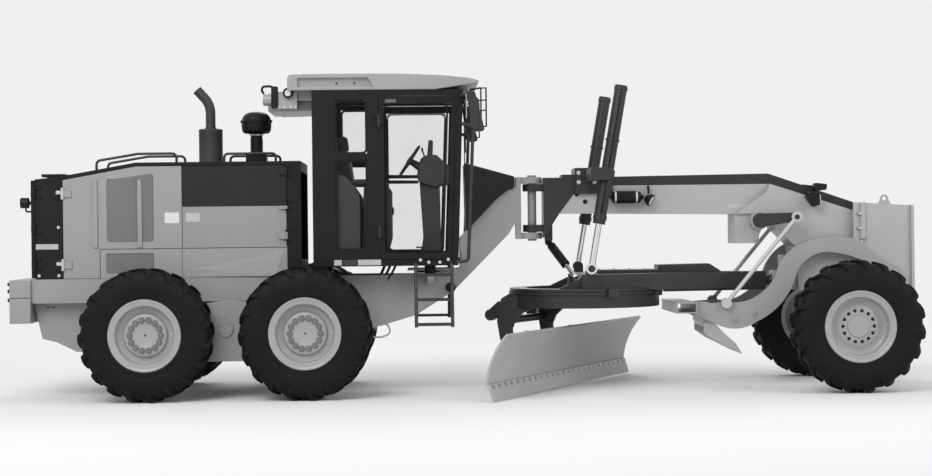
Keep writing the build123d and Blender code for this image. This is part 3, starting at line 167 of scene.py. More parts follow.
class Graph:
    """Adds nodes to one node tree."""

    def __init__(self, tree: bpy.types.NodeTree) -> None:
        """Keeps the tree."""
        self.tree = tree

    def add(self, kind: str, settings: dict[str, Any] | None = None,
            sockets: dict[Any, Any] | None = None, output: Any = 0) -> Wire:
        """Adds a node.

        Args:
            kind: the node's type.
            settings: attributes set first; "stops" fills a colour ramp.
            sockets: values or wires for the inputs, by name or number.
            output: the output that is returned.

        Returns:
            The chosen output.
        """
        node = self.tree.nodes.new(kind)
        for key, value in (settings or {}).items():
            if key == "stops":
                self._fill_ramp(node, value)
            else:
                setattr(node, key, value)
        for key, value in (sockets or {}).items():
            self.feed(node.inputs[key], value)
        return Wire(self, node.outputs[output])

    def feed(self, socket: bpy.types.NodeSocket, value: Any) -> None:
        """Links a wire to a socket, or sets the socket's own value.

        Args:
            socket: the input.
            value: a wire, or a plain value.
        """
        if isinstance(value, Wire):
            self.tree.links.new(value.socket, socket)
        else:
            socket.default_value = value

    @staticmethod
    def _fill_ramp(node: bpy.types.Node, stops: Sequence[tuple[float, float]]) -> None:
        """Sets a grey ramp's stops, each (position, level).

        Args:
            node: the colour ramp.
            stops: position and level of each stop.
        """
        ramp = node.color_ramp.elements
        while len(ramp) < len(stops):
            ramp.new(0.5)
        for element, (position, level) in zip(ramp, stops):
            element.position = position
            element.color = (level, level, level, 1.0)

    def noise(self, place: Wire, scale: float, detail: float) -> Wire:
        """Adds a noise texture."""
        return self.add("ShaderNodeTexNoise", sockets={"Vector": place, "Scale": scale, "Detail": detail})

    def blend(self, factor: Any, first: Any, second: Any) -> Wire:
        """Mixes two colours by a factor."""
        return self.add("ShaderNodeMix", {"data_type": "RGBA"},
                        {0: factor, 6: first, 7: second}, output=2)


def grey(level: float, warmth: float = 0.0) -> tuple[float, float, float, float]:
    """Opaque near-grey colour."""
    return (level * (1 + warmth), level, level * (1 - warmth), 1.0)


# ---- finishes
@dataclass(frozen=True)
class Surface:
    """What a finish dresses: a material's graph, its shader and its Object coordinates."""

    graph: Graph
    shader: bpy.types.Node
    place: Wire

    def set(self, socket: str, value: Any) -> None:
        """Gives one of the shader's sockets a wire or a plain value."""
        self.graph.feed(self.shader.inputs[socket], value)

    def noise(self, scale: float, detail: float) -> Wire:
        """Noise that is fixed to the piece."""
        return self.graph.noise(self.place, scale, detail)

    def bump(self, strength: float, distance: float, height: Wire) -> None:
        """Feeds a height, which counts distance metres at 1, to the shader's normal."""
        sockets = {"Strength": strength, "Distance": distance, "Height": height}
        self.set("Normal", self.graph.add("ShaderNodeBump", sockets=sockets))


@dataclass(frozen=True)
class Finish:
    """What every finish shares: its name, and the tree it builds."""

    name: str

    def build(self) -> bpy.types.Material:
        """Makes the material.

        Returns:
            The finished material.
        """
        material = bpy.data.materials.new(self.name)
        material.use_nodes = True
        graph = Graph(material.node_tree)
        place = graph.add("ShaderNodeTexCoord", output="Object")
        self.dress(Surface(graph, material.node_tree.nodes["Principled BSDF"], place))
        return material

    def dress(self, on: Surface) -> None:
        """Sets and links the shader's sockets of what is dressed."""
        raise NotImplementedError


def axes_of(graph: Graph, place: Wire) -> tuple[Wire, Wire, Wire]:
    """Splits a place into its x, y and z wires."""
    node = graph.add("ShaderNodeSeparateXYZ", sockets={0: place}).socket.node
    return tuple(Wire(graph, node.outputs[i]) for i in range(3))


@dataclass(frozen=True)
class Paint(Finish):
    """Sprayed machine paint with faint unevenness, orange peel and dust low down."""

    level: float = 0.36
    warmth: float = 0.0
    roughness: float = 0.38
    coat: float = 0.25
    mottle: float = 0.06
    dust: float = 0.25
    dust_top: float = 0.9
    peel: float = 0.04
    specular: float = 0.5

    def ground(self, on: Surface) -> Any:
        """Colour before mottling and dust."""
        return grey(self.level, self.warmth)

    def dress(self, on: Surface) -> None:
        """Links colour, roughness and bump.

        Args:
            on: what is dressed.
        """
        broad = on.noise(2.3, 4.0)
        fine = on.noise(38.0, 6.0)
        peel = on.noise(420.0, 2.0)
        _, _, up = axes_of(on.graph, on.place)
        base = self.ground(on)
        light = on.graph.blend(((broad - 0.5) * 2.0 * self.mottle + 0.5).clamp(), grey(0.0), grey(1.0))
        uneven = on.graph.add("ShaderNodeMix", {"data_type": "RGBA", "blend_type": "SOFT_LIGHT"},
                              {0: 1.0, 6: base, 7: light}, output=2)
        low = ((self.dust_top - up) / self.dust_top).clamp()
        film = (low * low * self.dust * (fine * 1.3 + 0.1)).clamp()
        on.set("Base Color", on.graph.blend(film, uneven, grey(0.42, 0.04)))
        rough = self.roughness + (broad - 0.5) * 0.12 + film * 0.5 + (fine - 0.5) * 0.06
        on.set("Roughness", rough.clamp())
        on.set("Specular IOR Level", self.specular)
        on.set("Coat Weight", self.coat)
        on.set("Coat Roughness", 0.18)
        on.bump(self.peel, 0.001, peel + fine * 0.4)


@dataclass(frozen=True)
class StripedPaint(Paint):
    """Machine paint whose upper part is a dark stripe with a straight lower edge."""

    stripe_level: float = 0.045
    edge: float = 1.896
    bend_x: float = 100.0
    slope: float = 0.0

    def ground(self, on: Surface) -> Wire:
        """Dark above the edge, which falls by a slope ahead of its bend.

        Args:
            on: what is dressed.

        Returns:
            The colour.
        """
        x, _, z = axes_of(on.graph, on.place)
        line = self.edge - (x - self.bend_x).above(0.0) * self.slope
        return on.graph.blend(z > line, grey(self.level, self.warmth), grey(self.stripe_level))


@dataclass(frozen=True)
class Rubber(Finish):
    """Tyre rubber: dark, matt, greyer where it is dusty."""

    level: float = 0.009
    dusty: float = 0.022

    def dress(self, on: Surface) -> None:
        """Links colour, roughness and bump.

        Args:
            on: what is dressed.
        """
        broad = on.noise(6.0, 5.0)
        fine = on.noise(160.0, 4.0)
        mask = ((broad - 0.42) * 2.4).clamp() * 0.55
        on.set("Base Color", on.graph.blend(mask, grey(self.level), grey(self.dusty, 0.05)))
        on.set("Roughness", (0.62 + (broad - 0.5) * 0.25).clamp())
        on.set("Specular IOR Level", 0.15)
        on.bump(0.12, 0.002, fine)


@dataclass(frozen=True)
class Metal(Finish):
    """Bare or plated steel with fine lengthwise scratches."""

    level: float = 0.6
    roughness: float = 0.25
    scratch: float = 0.05
    metallic: float = 1.0

    def dress(self, on: Surface) -> None:
        """Links colour, roughness and bump.

        Args:
            on: what is dressed.
        """
        stretched = on.graph.add("ShaderNodeMapping",
                                 sockets={"Vector": on.place, "Scale": (60.0, 60.0, 900.0)})
        lines = on.graph.noise(stretched, 1.0, 3.0)
        broad = on.noise(9.0, 4.0)
        pale = min(self.level * 1.15, 1.0)
        on.set("Base Color", on.graph.blend(broad, grey(self.level * 0.85), grey(pale)))
        on.set("Roughness", (self.roughness + (lines - 0.5) * 0.2).clamp())
        on.set("Metallic", self.metallic)
        on.bump(self.scratch, 0.0005, lines)


@dataclass(frozen=True)
class Plastic(Finish):
    """Moulded plastic with a fine leathery grain."""

    level: float = 0.02
    roughness: float = 0.5
    grain: float = 0.15
    scale: float = 260.0

    def dress(self, on: Surface) -> None:
        """Links colour, roughness and bump.

        Args:
            on: what is dressed.
        """
        cells = on.graph.add("ShaderNodeTexVoronoi", sockets={"Vector": on.place, "Scale": self.scale})
        broad = on.noise(5.0, 3.0)
        on.set("Base Color", on.graph.blend(broad, grey(self.level * 0.8), grey(self.level * 1.25)))
        on.set("Roughness", (self.roughness + (broad - 0.5) * 0.15).clamp())
        on.bump(self.grain, 0.001, cells)


@dataclass(frozen=True)
class Woven(Finish):
    """Seat cloth with a tight two-way weave."""

    level: float = 0.03
    pitch: float = 900.0

    def dress(self, on: Surface) -> None:
        """Links colour, roughness and bump.

        Args:
            on: what is dressed.
        """
        x, y, z = axes_of(on.graph, on.place)
        warp = on.graph.add("ShaderNodeMath", {"operation": "SINE"}, {0: (y + x) * self.pitch})
        weft = on.graph.add("ShaderNodeMath", {"operation": "SINE"}, {0: (z + x) * self.pitch})
        weave = warp * weft * 0.5 + 0.5
        on.set("Base Color", on.graph.blend(weave, grey(self.level * 0.6), grey(self.level * 1.5)))
        on.set("Roughness", 0.9)
        on.set("Sheen Weight", 0.3)
        on.bump(0.3, 0.001, weave)


@dataclass(frozen=True)
class Pane(Finish):
    """Clear window glass, very slightly tinted."""

    tint: float = 0.05
    alpha: float = 0.05

    def dress(self, on: Surface) -> None:
        """Links a faint film of dust to the glass's opacity.

        Args:
            on: what is dressed.
        """
        film = on.noise(3.0, 6.0)
        on.set("Alpha", (self.alpha + (film - 0.5) * 0.04).clamp())
        on.set("Roughness", (0.03 + film * 0.04).clamp())
        on.set("Base Color", grey(self.tint))
        on.set("Specular IOR Level", 0.15)


@dataclass(frozen=True)
class Lens(Finish):
    """Moulded lamp lens, its bright colour a painted reflection of the reflector behind it, its flutes' edges
    darker as painted shade.
    """

    level: float = 0.75

    def dress(self, on: Surface) -> None:
        """Links fluting to bump, and to colour as painted shade darker towards each flute's edge.

        Args:
            on: what is dressed.
        """
        ribs = on.graph.add("ShaderNodeTexVoronoi", sockets={"Vector": on.place, "Scale": 90.0})
        # Bright colour is painted reflection; darker towards each cell's edge is painted shade of the flutes.
        on.set("Base Color", on.graph.blend(ribs, grey(self.level), grey(self.level * 0.55)))
        on.set("Roughness", (0.08 + ribs * 0.1).clamp())
        on.set("Coat Weight", 1.0)
        on.bump(0.3, 0.003, ribs)


class Finishes:
    """Builds each finish once."""

    BODY = Paint("body_paint", level=0.265, coat=0.15)
    # Lighter than the body paint: painted light on a flat plate standing for a sloping facet that catches
    # more light.
    FACET = Paint("facet_paint", level=0.30, coat=0.15)
    NOSE = Paint("nose_paint", level=0.36, coat=0.15)
    # The wheel nuts' paint is darker than the rim's: painted shade of their undersides.
    NUT = Paint("wheel_nut_paint", level=0.13, roughness=0.3, coat=0.3, dust=0.05)
    ARM = Paint("arm_paint", level=0.29, coat=0.15)
    ROOF = Paint("roof_paint", level=0.27, coat=0.1, dust=0.0)
    COWL = Paint("cowl_paint", level=0.009, roughness=0.42, coat=0.02, mottle=0.1, dust=0.02, specular=0.18)
    LIGHT = Paint("light_paint", level=0.45, dust=0.1)
    WHEEL = Paint("wheel_paint", level=0.30, roughness=0.34, dust=0.12, dust_top=1.2)
    CHARCOAL = Paint("charcoal_paint", level=0.021, roughness=0.4, coat=0.06, mottle=0.1, dust=0.05,
                     specular=0.35)
    # Black paint, also used on thin dark discs that are painted shade standing for a steered wheel's holes.
    BLACK = Paint("black_paint", level=0.007, roughness=0.46, coat=0.02, mottle=0.1, dust=0.02, specular=0.18)
    HOOD_STRIPE = StripedPaint("hood_stripe_paint", level=0.265, edge=1.896, stripe_level=0.016, coat=0.02,
                               specular=0.2)
    BEAM_BAND = StripedPaint("beam_band_paint", level=0.36, edge=2.072, stripe_level=0.022, coat=0.05,
                             specular=0.3, bend_x=TANDEM_X + 5.472, slope=0.3288)
    BLADE = Paint("blade_paint", level=0.36, roughness=0.42, coat=0.1, mottle=0.1, dust=0.2, dust_top=0.5)
    RUBBER = Rubber("tyre_rubber", level=0.0045, dusty=0.012)
    # Dark rubber of gaskets and seams, also used on thin dark discs and plates that are painted shade
    # standing for holes, slots, openings and the exhaust's mouth.
    GASKET = Rubber("window_gasket", level=0.012, dusty=0.02)
    CHROME = Metal("chromed_rod", level=0.8, roughness=0.12)
    STEEL = Metal("bare_steel", level=0.42, roughness=0.38, scratch=0.2)
    ZINC = Metal("zinc_fittings", level=0.62, roughness=0.35)
    SOOT = Metal("sooty_exhaust", level=0.035, roughness=0.6, metallic=0.3)
    PLASTIC = Plastic("moulded_plastic")
    CLOTH = Woven("seat_cloth")
    GLASS = Pane("window_glass")
    LENS = Lens("lamp_lens")
    REFLECTOR = Lens("reflector_strip", level=0.5)
    # A dark sheet behind the wire screens: painted shade of the space behind them.
    SCREEN = Plastic("screen_backing", level=0.055, roughness=0.7)
    SCREEN_WIRE = Paint("screen_wire", level=0.27, roughness=0.5, coat=0.0, dust=0.0)
    DULL_PLATE = Paint("dull_blank_plate", level=0.42, roughness=0.4, coat=0.0, dust=0.0)
    DARK_PLATE = Paint("dark_blank_plate", level=0.09, roughness=0.5, coat=0.0, dust=0.0)
    PLATE = Paint("blank_plate", level=0.62, roughness=0.3, coat=0.1, dust=0.0)

    @classmethod
    @cache
    def get(cls, finish: Finish) -> bpy.types.Material:
        """The material of a finish, made on first use."""
        return finish.build()


# ---- repeats made by Geometry Nodes
class Repeater:
    """Geometry Nodes trees that repeat a mesh, thicken its edges or set a fastener at each point."""

    @staticmethod
    def _start(name: str, inputs: dict[str, str]) -> tuple[Graph, dict[str, Wire]]:
        """Makes an empty tree with a geometry input and named inputs.

        Args:
            name: the tree's name.
            inputs: each input's name, with what kind it is, after the geometry.

        Returns:
            The tree's graph, and its inputs by name.
        """
        tree = bpy.data.node_groups.new(name, "GeometryNodeTree")
        for label, kind in {"Geometry": "Geometry", **inputs, "Material": "Material"}.items():
            tree.interface.new_socket(label, in_out="INPUT", socket_type=f"NodeSocket{kind}")
        tree.interface.new_socket("Geometry", in_out="OUTPUT", socket_type="NodeSocketGeometry")
        graph = Graph(tree)
        entry = tree.nodes.new("NodeGroupInput")
        return graph, {socket.name: Wire(graph, socket) for socket in entry.outputs if socket.name}

    @staticmethod
    def _end(graph: Graph, given: dict[str, Wire], instances: Wire) -> bpy.types.NodeTree:
        """Realizes the instances, sets their material and gives the finished tree.

        Args:
            graph: the tree's graph.
            given: the tree's inputs.
            instances: what to realize.

        Returns:
            The finished tree.
        """
        solid = graph.add("GeometryNodeRealizeInstances", sockets={"Geometry": instances})
        coated = graph.add("GeometryNodeSetMaterial",
                           sockets={"Geometry": solid, "Material": given["Material"]})
        leave = graph.tree.nodes.new("NodeGroupOutput")
        graph.feed(leave.inputs[0], coated)
        return graph.tree

    @classmethod
    @cache
    def ring(cls) -> bpy.types.NodeTree:
        """Tree that turns copies of a mesh about an axis through a centre.

        Returns:
            The finished tree.
        """
        graph, given = cls._start("ring_repeat", {"Count": "Int", "Centre": "Vector", "Axis": "Vector",
                                                  "Start": "Float"})
        back = graph.add("ShaderNodeVectorMath", {"operation": "SCALE"}, {0: given["Centre"], "Scale": -1.0})
        home = graph.add("GeometryNodeTransform",
                         sockets={"Geometry": given["Geometry"], "Translation": back})
        points = graph.add("GeometryNodePoints",
                           sockets={"Count": given["Count"], "Position": given["Centre"]})
        index = graph.add("GeometryNodeInputIndex")
        angle = index * math.tau / given["Count"] + given["Start"]
        turn = graph.add("FunctionNodeAxisAngleToRotation", sockets={"Axis": given["Axis"], "Angle": angle})
        copies = graph.add("GeometryNodeInstanceOnPoints",
                           sockets={"Points": points, "Instance": home, "Rotation": turn})
        return cls._end(graph, given, copies)

    @classmethod
    @cache
    def strands(cls) -> bpy.types.NodeTree:
        """Tree that gives every edge of a mesh a thickness.

        Returns:
            The finished tree.
        """
        graph, given = cls._start("strands", {"Radius": "Float", "Sides": "Int"})
        line = graph.add("GeometryNodeMeshToCurve", sockets={"Mesh": given["Geometry"]})
        outline = graph.add("GeometryNodeCurvePrimitiveCircle", {"mode": "RADIUS"},
                            {"Resolution": given["Sides"], "Radius": given["Radius"]})
        solid = graph.add("GeometryNodeCurveToMesh",
                          sockets={"Curve": line, "Profile Curve": outline, "Fill Caps": True})
        return cls._end(graph, given, solid)

    @classmethod
    @cache
    def fasteners(cls) -> bpy.types.NodeTree:
        """Tree that sets a washer and a head at each point, facing the point's stored direction.

        Returns:
            The finished tree.
        """
        graph, given = cls._start("fasteners", {"Radius": "Float", "Height": "Float", "Sides": "Int"})
        radius, height = given["Radius"], given["Height"]
        washer = graph.add("GeometryNodeMeshCylinder",
                           sockets={"Vertices": 16, "Radius": radius * 1.45, "Depth": height * 0.5})
        head = graph.add("GeometryNodeMeshCylinder",
                         sockets={"Vertices": given["Sides"], "Radius": radius, "Depth": height * 2.0})
        bolt = graph.tree.nodes.new("GeometryNodeJoinGeometry")
        for piece in (washer, head):
            graph.tree.links.new(piece.socket, bolt.inputs[0])
        facing = graph.add("GeometryNodeInputNamedAttribute", {"data_type": "FLOAT_VECTOR"},
                           {"Name": "facing"})
        turn = graph.add("FunctionNodeAlignRotationToVector", {"axis": "Z"}, {"Vector": facing})
        copies = graph.add("GeometryNodeInstanceOnPoints",
                           sockets={"Points": given["Geometry"], "Instance": Wire(graph, bolt.outputs[0]),
                                    "Rotation": turn})
        return cls._end(graph, given, copies)

    @staticmethod
    def apply(source: bpy.types.Object, tree: bpy.types.NodeTree, values: dict[str, Any],
              finish: Finish) -> bpy.types.Object:
        """Runs a tree on an object and keeps the result as a plain mesh.

        Args:
            source: the object whose mesh goes in.
            tree: one of this class's trees.
            values: the tree's inputs by name.
            finish: the finish that the result takes.

        Returns:
            The same object with its new mesh.
        """
        modifier = source.modifiers.new("repeat", "NODES")
        modifier.node_group = tree
        given = {**values, "Material": Finishes.get(finish)}
        for item in tree.interface.items_tree:
            if item.in_out == "INPUT" and item.name in given:
                modifier[item.identifier] = given[item.name]
        coat(bake(source), finish)
        return source


# ---- mesh building
def rounded(points: Sequence[Point], radius: float, steps: int = 5) -> list[Vector]:
    """Rounds the corners of a path.

    Args:
        points: the path's corners.
        radius: how far before and after a corner the bend reaches, at most.
        steps: points along each bend.

    Returns:
        The path's points with bends.
    """
    corners = [Vector(point) for point in points]
    path = [corners[0]]
    for before, corner, after in zip(corners, corners[1:], corners[2:]):
        reach = min(radius, (corner - before).length * 0.48, (after - corner).length * 0.48)
        start = corner + (before - corner).normalized() * reach
        end = corner + (after - corner).normalized() * reach
        for step in range(steps + 1):
            t = step / steps
            path.append(start * (1 - t) ** 2 + corner * 2 * t * (1 - t) + end * t * t)
    path.append(corners[-1])
    return path


def frame_across(direction: Vector) -> tuple[Vector, Vector]:
    """Two unit vectors square to a direction and to each other.

    Args:
        direction: a unit vector.

    Returns:
        Both vectors.
    """
    helper = Vector((0, 0, 1)) if abs(direction.z) < 0.9 else Vector((1, 0, 0))
    first = direction.cross(helper).normalized()
    return first, direction.cross(first).normalized()


def linked(name: str, data: Any) -> bpy.types.Object:
    """A new object of a mesh, lamp or camera, in the scene.

    Args:
        name: the object's name.
        data: what it holds.

    Returns:
        The object.
    """
    piece = bpy.data.objects.new(name, data)
    bpy.context.scene.collection.objects.link(piece)
    return piece


def bake(piece: bpy.types.Object) -> bpy.types.Mesh:
    """Keeps what a piece's modifiers make of its mesh, and removes them.

    Args:
        piece: an object with modifiers.

    Returns:
        Its new mesh.
    """
    data = bpy.data.meshes.new_from_object(piece.evaluated_get(bpy.context.evaluated_depsgraph_get()))
    piece.modifiers.clear()
    piece.data = data
    return data


def coat(data: bpy.types.Mesh, finish: Finish) -> None:
    """Gives a whole mesh one finish.

    Args:
        data: the mesh.
        finish: its surface.
    """
    data.materials.clear()
    data.materials.append(Finishes.get(finish))
    for polygon in data.polygons:
        polygon.material_index = 0


class Shape:
    """Collects the solids of one piece, then turns them into an object."""

    def __init__(self) -> None:
        """Starts empty."""
        self.mesh = bmesh.new()

    def _faces(self, corners: Sequence[Vector], faces: Iterable[Sequence[int]]) -> None:
        """Adds vertices and the faces between them.

        Args:
            corners: the vertices.
            faces: each face's vertex numbers.
        """
        verts = [self.mesh.verts.new(corner) for corner in corners]
        for face in faces:
            self.mesh.faces.new([verts[index] for index in face])

    def box(self, low: Point, high: Point) -> "Shape":
        """Adds a box between two opposite corners.

        Args:
            low: one corner.
            high: the opposite corner.

        Returns:
            This shape.
        """
        xs, ys, zs = (sorted(pair) for pair in zip(low, high))
        self._faces([Vector((x, y, z)) for z in zs for y in ys for x in xs],
                    ((0, 2, 3, 1), (4, 5, 7, 6), (0, 1, 5, 4), (2, 6, 7, 3), (0, 4, 6, 2), (1, 3, 7, 5)))
        return self

    def slab(self, outline: Sequence[Sequence[float]], low: float, high: float, lay: Lay = Lay.XZ) -> "Shape":
        """Adds a flat outline's solid between two levels of the third axis.

        Args:
            outline: its points.
            low: one level.
            high: the other level.
            lay: the plane that it is drawn in.

        Returns:
            This shape.
        """
        def place(a: float, b: float, c: float) -> Vector:
            """A corner from its two drawn coordinates and its level."""
            if lay is Lay.XZ:
                return Vector((a, c, b))
            if lay is Lay.XY:
                return Vector((a, b, c))
            return Vector((c, a, b))

        count = len(outline)
        corners = [place(a, b, level) for level in sorted((low, high)) for a, b in outline]
        sides = [(i, (i + 1) % count, (i + 1) % count + count, i + count) for i in range(count)]
        self._faces(corners, [tuple(range(count))[::-1], tuple(range(count, 2 * count)), *sides])
        return self

    def sweep(self, path: Sequence[Vector], radii: Sequence[float] | float, sides: int = 12) -> "Shape":
        """Adds a round tube along a path, closed at both ends.

        Args:
            path: points along the middle.
            radii: one radius, or one for each point.
            sides: flats round the tube.

        Returns:
            This shape.
        """
        spine = [Vector(point) for point in path]
        widths = [radii] * len(spine) if isinstance(radii, (int, float)) else list(radii)
        across, _ = frame_across((spine[1] - spine[0]).normalized())
        rings: list[list[bmesh.types.BMVert]] = []
        for index, centre in enumerate(spine):
            before = spine[max(index - 1, 0)]
            after = spine[min(index + 1, len(spine) - 1)]
            along = (after - before).normalized()
            across = (across - along * across.dot(along)).normalized()
            other = along.cross(across)
            rings.append([self.mesh.verts.new(centre + (across * math.cos(turn) + other * math.sin(turn))
                                              * widths[index])
                          for turn in (math.tau * k / sides for k in range(sides))])
        for first, second in zip(rings, rings[1:]):
            for k in range(sides):
                self.mesh.faces.new((first[k], first[(k + 1) % sides], second[(k + 1) % sides], second[k]))
        self.mesh.faces.new(rings[0][::-1])
        self.mesh.faces.new(rings[-1])
        return self

    def rod(self, start: Point, end: Point, radius: float, sides: int = 24,
            taper: float | None = None) -> "Shape":
        """Adds a round bar, or a cone frustum where taper gives the end's radius."""
        last = radius if taper is None else taper
        return self.sweep([Vector(start), Vector(end)], [radius, last], sides)

    def tube(self, points: Sequence[Point], radius: float, bend: float = 0.05, sides: int = 12) -> "Shape":
        """Adds a round bar along straight runs with rounded bends."""
        return self.sweep(rounded(points, bend), radius, sides)

    def lathe(self, centre: Point, axis: Point, section: Sequence[tuple[float, float]],
              sides: int = 64) -> "Shape":
        """Revolves a section about an axis.

        Args:
            centre: the point that distances along the axis count from.
            axis: the axis's direction.
            section: (distance along the axis, radius) points; a closed loop unless both ends reach radius 0.
            sides: how many flats the circle has.

        Returns:
            This shape.
        """
        along = Vector(axis).normalized()
        first, second = frame_across(along)
        origin = Vector(centre)
        columns: list[list[bmesh.types.BMVert]] = []
        for distance, radius in section:
            if radius < 1e-6:
                columns.append([self.mesh.verts.new(origin + along * distance)] * sides)
                continue
            columns.append([self.mesh.verts.new(origin + along * distance
                                                + (first * math.cos(turn) + second * math.sin(turn)) * radius)
                            for turn in (math.tau * k / sides for k in range(sides))])
        open_ended = section[0][1] < 1e-6 and section[-1][1] < 1e-6
        pairs = list(zip(columns, columns[1:]))
        if not open_ended:
            pairs.append((columns[-1], columns[0]))
        for left, right in pairs:
            for k in range(sides):
                ring = [left[k], left[(k + 1) % sides], right[(k + 1) % sides], right[k]]
                face = list(dict.fromkeys(ring))
                if len(face) > 2:
                    self.mesh.faces.new(face)
        return self

    def ball(self, centre: Point, radius: float, sides: int = 16) -> "Shape":
        """Adds a sphere.

        Args:
            centre: its middle.
            radius: its radius.
            sides: flats round it.

        Returns:
            This shape.
        """
        bmesh.ops.create_uvsphere(self.mesh, u_segments=sides, v_segments=max(sides // 2, 4), radius=radius,
                                  matrix=Matrix.Translation(centre))
        return self

    def band(self, outer: Sequence[Sequence[float]], inner: Sequence[Sequence[float]], low: float,
             high: float) -> "Shape":
        """Adds a flat ring between two (x, z) outlines with as many points, between two y levels.

        Args:
            outer: outer outline.
            inner: inner outline.
            low: one level.
            high: the other level.

        Returns:
            This shape.
        """
        count = len(outer)
        loops = [[self.mesh.verts.new((a, level, b)) for a, b in outline]
                 for level in sorted((low, high)) for outline in (outer, inner)]
        for first, second in ((0, 1), (1, 3), (3, 2), (2, 0)):
            for k in range(count):
                n = (k + 1) % count
                self.mesh.faces.new((loops[first][k], loops[first][n], loops[second][n], loops[second][k]))
        return self

    def hoop(self, centre: Point, axis: Point, radius: float, thickness: float, sides: int = 32) -> "Shape":
        """Adds a torus.

        Args:
            centre: its middle.
            axis: its axis.
            radius: to the bar's middle.
            thickness: the bar's radius.
            sides: flats round the ring.

        Returns:
            This shape.
        """
        section = [(thickness * math.cos(turn), radius + thickness * math.sin(turn))
                   for turn in (math.tau * k / 10 for k in range(10))]
        return self.lathe(centre, axis, section, sides)

    def turn(self, matrix: Matrix) -> "Shape":
        """Turns everything added so far."""
        bmesh.ops.transform(self.mesh, matrix=matrix, verts=self.mesh.verts)
        return self

    def mirrored(self) -> "Shape":
        """Adds the reflection in the machine's middle plane.

        Returns:
            This shape.
        """
        copied = bmesh.ops.duplicate(self.mesh, geom=list(self.mesh.verts) + list(self.mesh.edges)
                                     + list(self.mesh.faces))["geom"]
        for item in copied:
            if isinstance(item, bmesh.types.BMVert):
                item.co.y = -item.co.y
        return self

    def build(self, name: str, finish: Finish, bevel: float = 0.0, segments: int = 2) -> bpy.types.Object:
        """Closes the piece.

        Args:
            name: the object's name.
            finish: what its surface is.
            bevel: width of its rounded edges, in metres.
            segments: steps across each rounded edge.

        Returns:
            The finished object, at the origin.
        """
        bmesh.ops.recalc_face_normals(self.mesh, faces=self.mesh.faces)
        data = bpy.data.meshes.new(name)
        self.mesh.to_mesh(data)
        self.mesh.free()
        return finish_object(name, data, finish, bevel, segments)


def finish_object(name: str, data: bpy.types.Mesh, finish: Finish, bevel: float,
                  segments: int = 2) -> bpy.types.Object:
    """Makes an object of a mesh, rounds its edges, shades it by angle and keeps its large faces flat.

    Args:
        name: the object's name.
        data: its mesh.
        finish: what its surface is.
        bevel: width of its rounded edges, or 0.
        segments: steps across each rounded edge.

    Returns:
        The object, linked to the scene.
    """
    piece = linked(name, data)
    if bevel > 0:
        modifier = piece.modifiers.new("edges", "BEVEL")
        modifier.width = bevel
        modifier.segments = segments
        modifier.limit_method = "ANGLE"
        modifier.angle_limit = SHARP_ANGLE
        data = bake(piece)
    coat(data, finish)
    for polygon in data.polygons:
        polygon.use_smooth = True
    shade = bmesh.new()
    shade.from_mesh(data)
    for edge in shade.edges:
        edge.smooth = len(edge.link_faces) == 2 and edge.calc_face_angle(0.0) < SHARP_ANGLE
    shade.to_mesh(data)
    shade.free()
    if bevel > 0:
        weighted = piece.modifiers.new("flat_faces", "WEIGHTED_NORMAL")
        weighted.keep_sharp = True
        weighted.weight = 50
        bake(piece)
    return piece


def fasten(name: str, spots: Sequence[tuple[Point, Point]], radius: float, height: float, finish: Finish,
           sides: int = 6) -> bpy.types.Object:
    """Sets a fastener at each spot.

    Args:
        name: the piece's name.
        spots: (place, outward direction) of each fastener.
        radius: half a head's width.
        height: how far a head stands out.
        finish: what the fasteners are made of.
        sides: flats on a head, or 16 and more for a round one.

    Returns:
        One object that holds them all.
    """
    data = bpy.data.meshes.new(name)
    data.from_pydata([tuple(place) for place, _ in spots], [], [])
    facing = data.attributes.new("facing", "FLOAT_VECTOR", "POINT")
    facing.data.foreach_set("vector", [value for _, way in spots for value in way])
    sizes = {"Radius": radius, "Height": height, "Sides": sides}
    return Repeater.apply(linked(name, data), Repeater.fasteners(), sizes, finish)


def seat(piece: bpy.types.Object, body: str, *replaced: str) -> bpy.types.Object:
    """Rides a piece on a body, and hides the CAD nodes that it stands for.

    Args:
        piece: the object.
        body: the body it rides on.
        replaced: CAD nodes that it stands for.

    Returns:
        The object.
    """
    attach(piece, body)
    if replaced:
        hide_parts(*replaced)
    LOG.info("%s rides on %s", piece.name, body)
    return piece


def body_of(node: str) -> str:
    """The body that a CAD node belongs to.

    Args:
        node: the CAD node.

    Returns:
        The body's name.
    """
    for body, nodes in frame["record"]["behaviour"]["bodies"].items():
        if node in nodes:
            return body
    raise KeyError(node)


def refined(node: str, finish: Finish, bevel: float = 0.004) -> bpy.types.Object:
    """Stands a welded copy of a CAD node, with rounded edges, in place of its loose triangles.

    Args:
        node: the CAD node.
        finish: what its surface is.
        bevel: width of its rounded edges.

    Returns:
        The copy.
    """
    source = frame["nodes"][node]
    welded = bmesh.new()
    welded.from_mesh(source.data)
    welded.transform(source.matrix_world)
    bmesh.ops.remove_doubles(welded, verts=welded.verts, dist=1e-5)
    bmesh.ops.dissolve_limit(welded, angle_limit=math.radians(1.0), verts=welded.verts, edges=welded.edges)
    data = bpy.data.meshes.new(f"{node}_skin")
    welded.to_mesh(data)
    welded.free()
    return seat(finish_object(f"{node}_skin", data, finish, bevel), body_of(node), node)


# ---- shared fitting helpers
def at(ahead: float, across: float, up: float) -> Vector:
    """A point from its distance ahead of the tandem pivot, its side and its height."""
    return Vector((TANDEM_X + ahead, across, up))


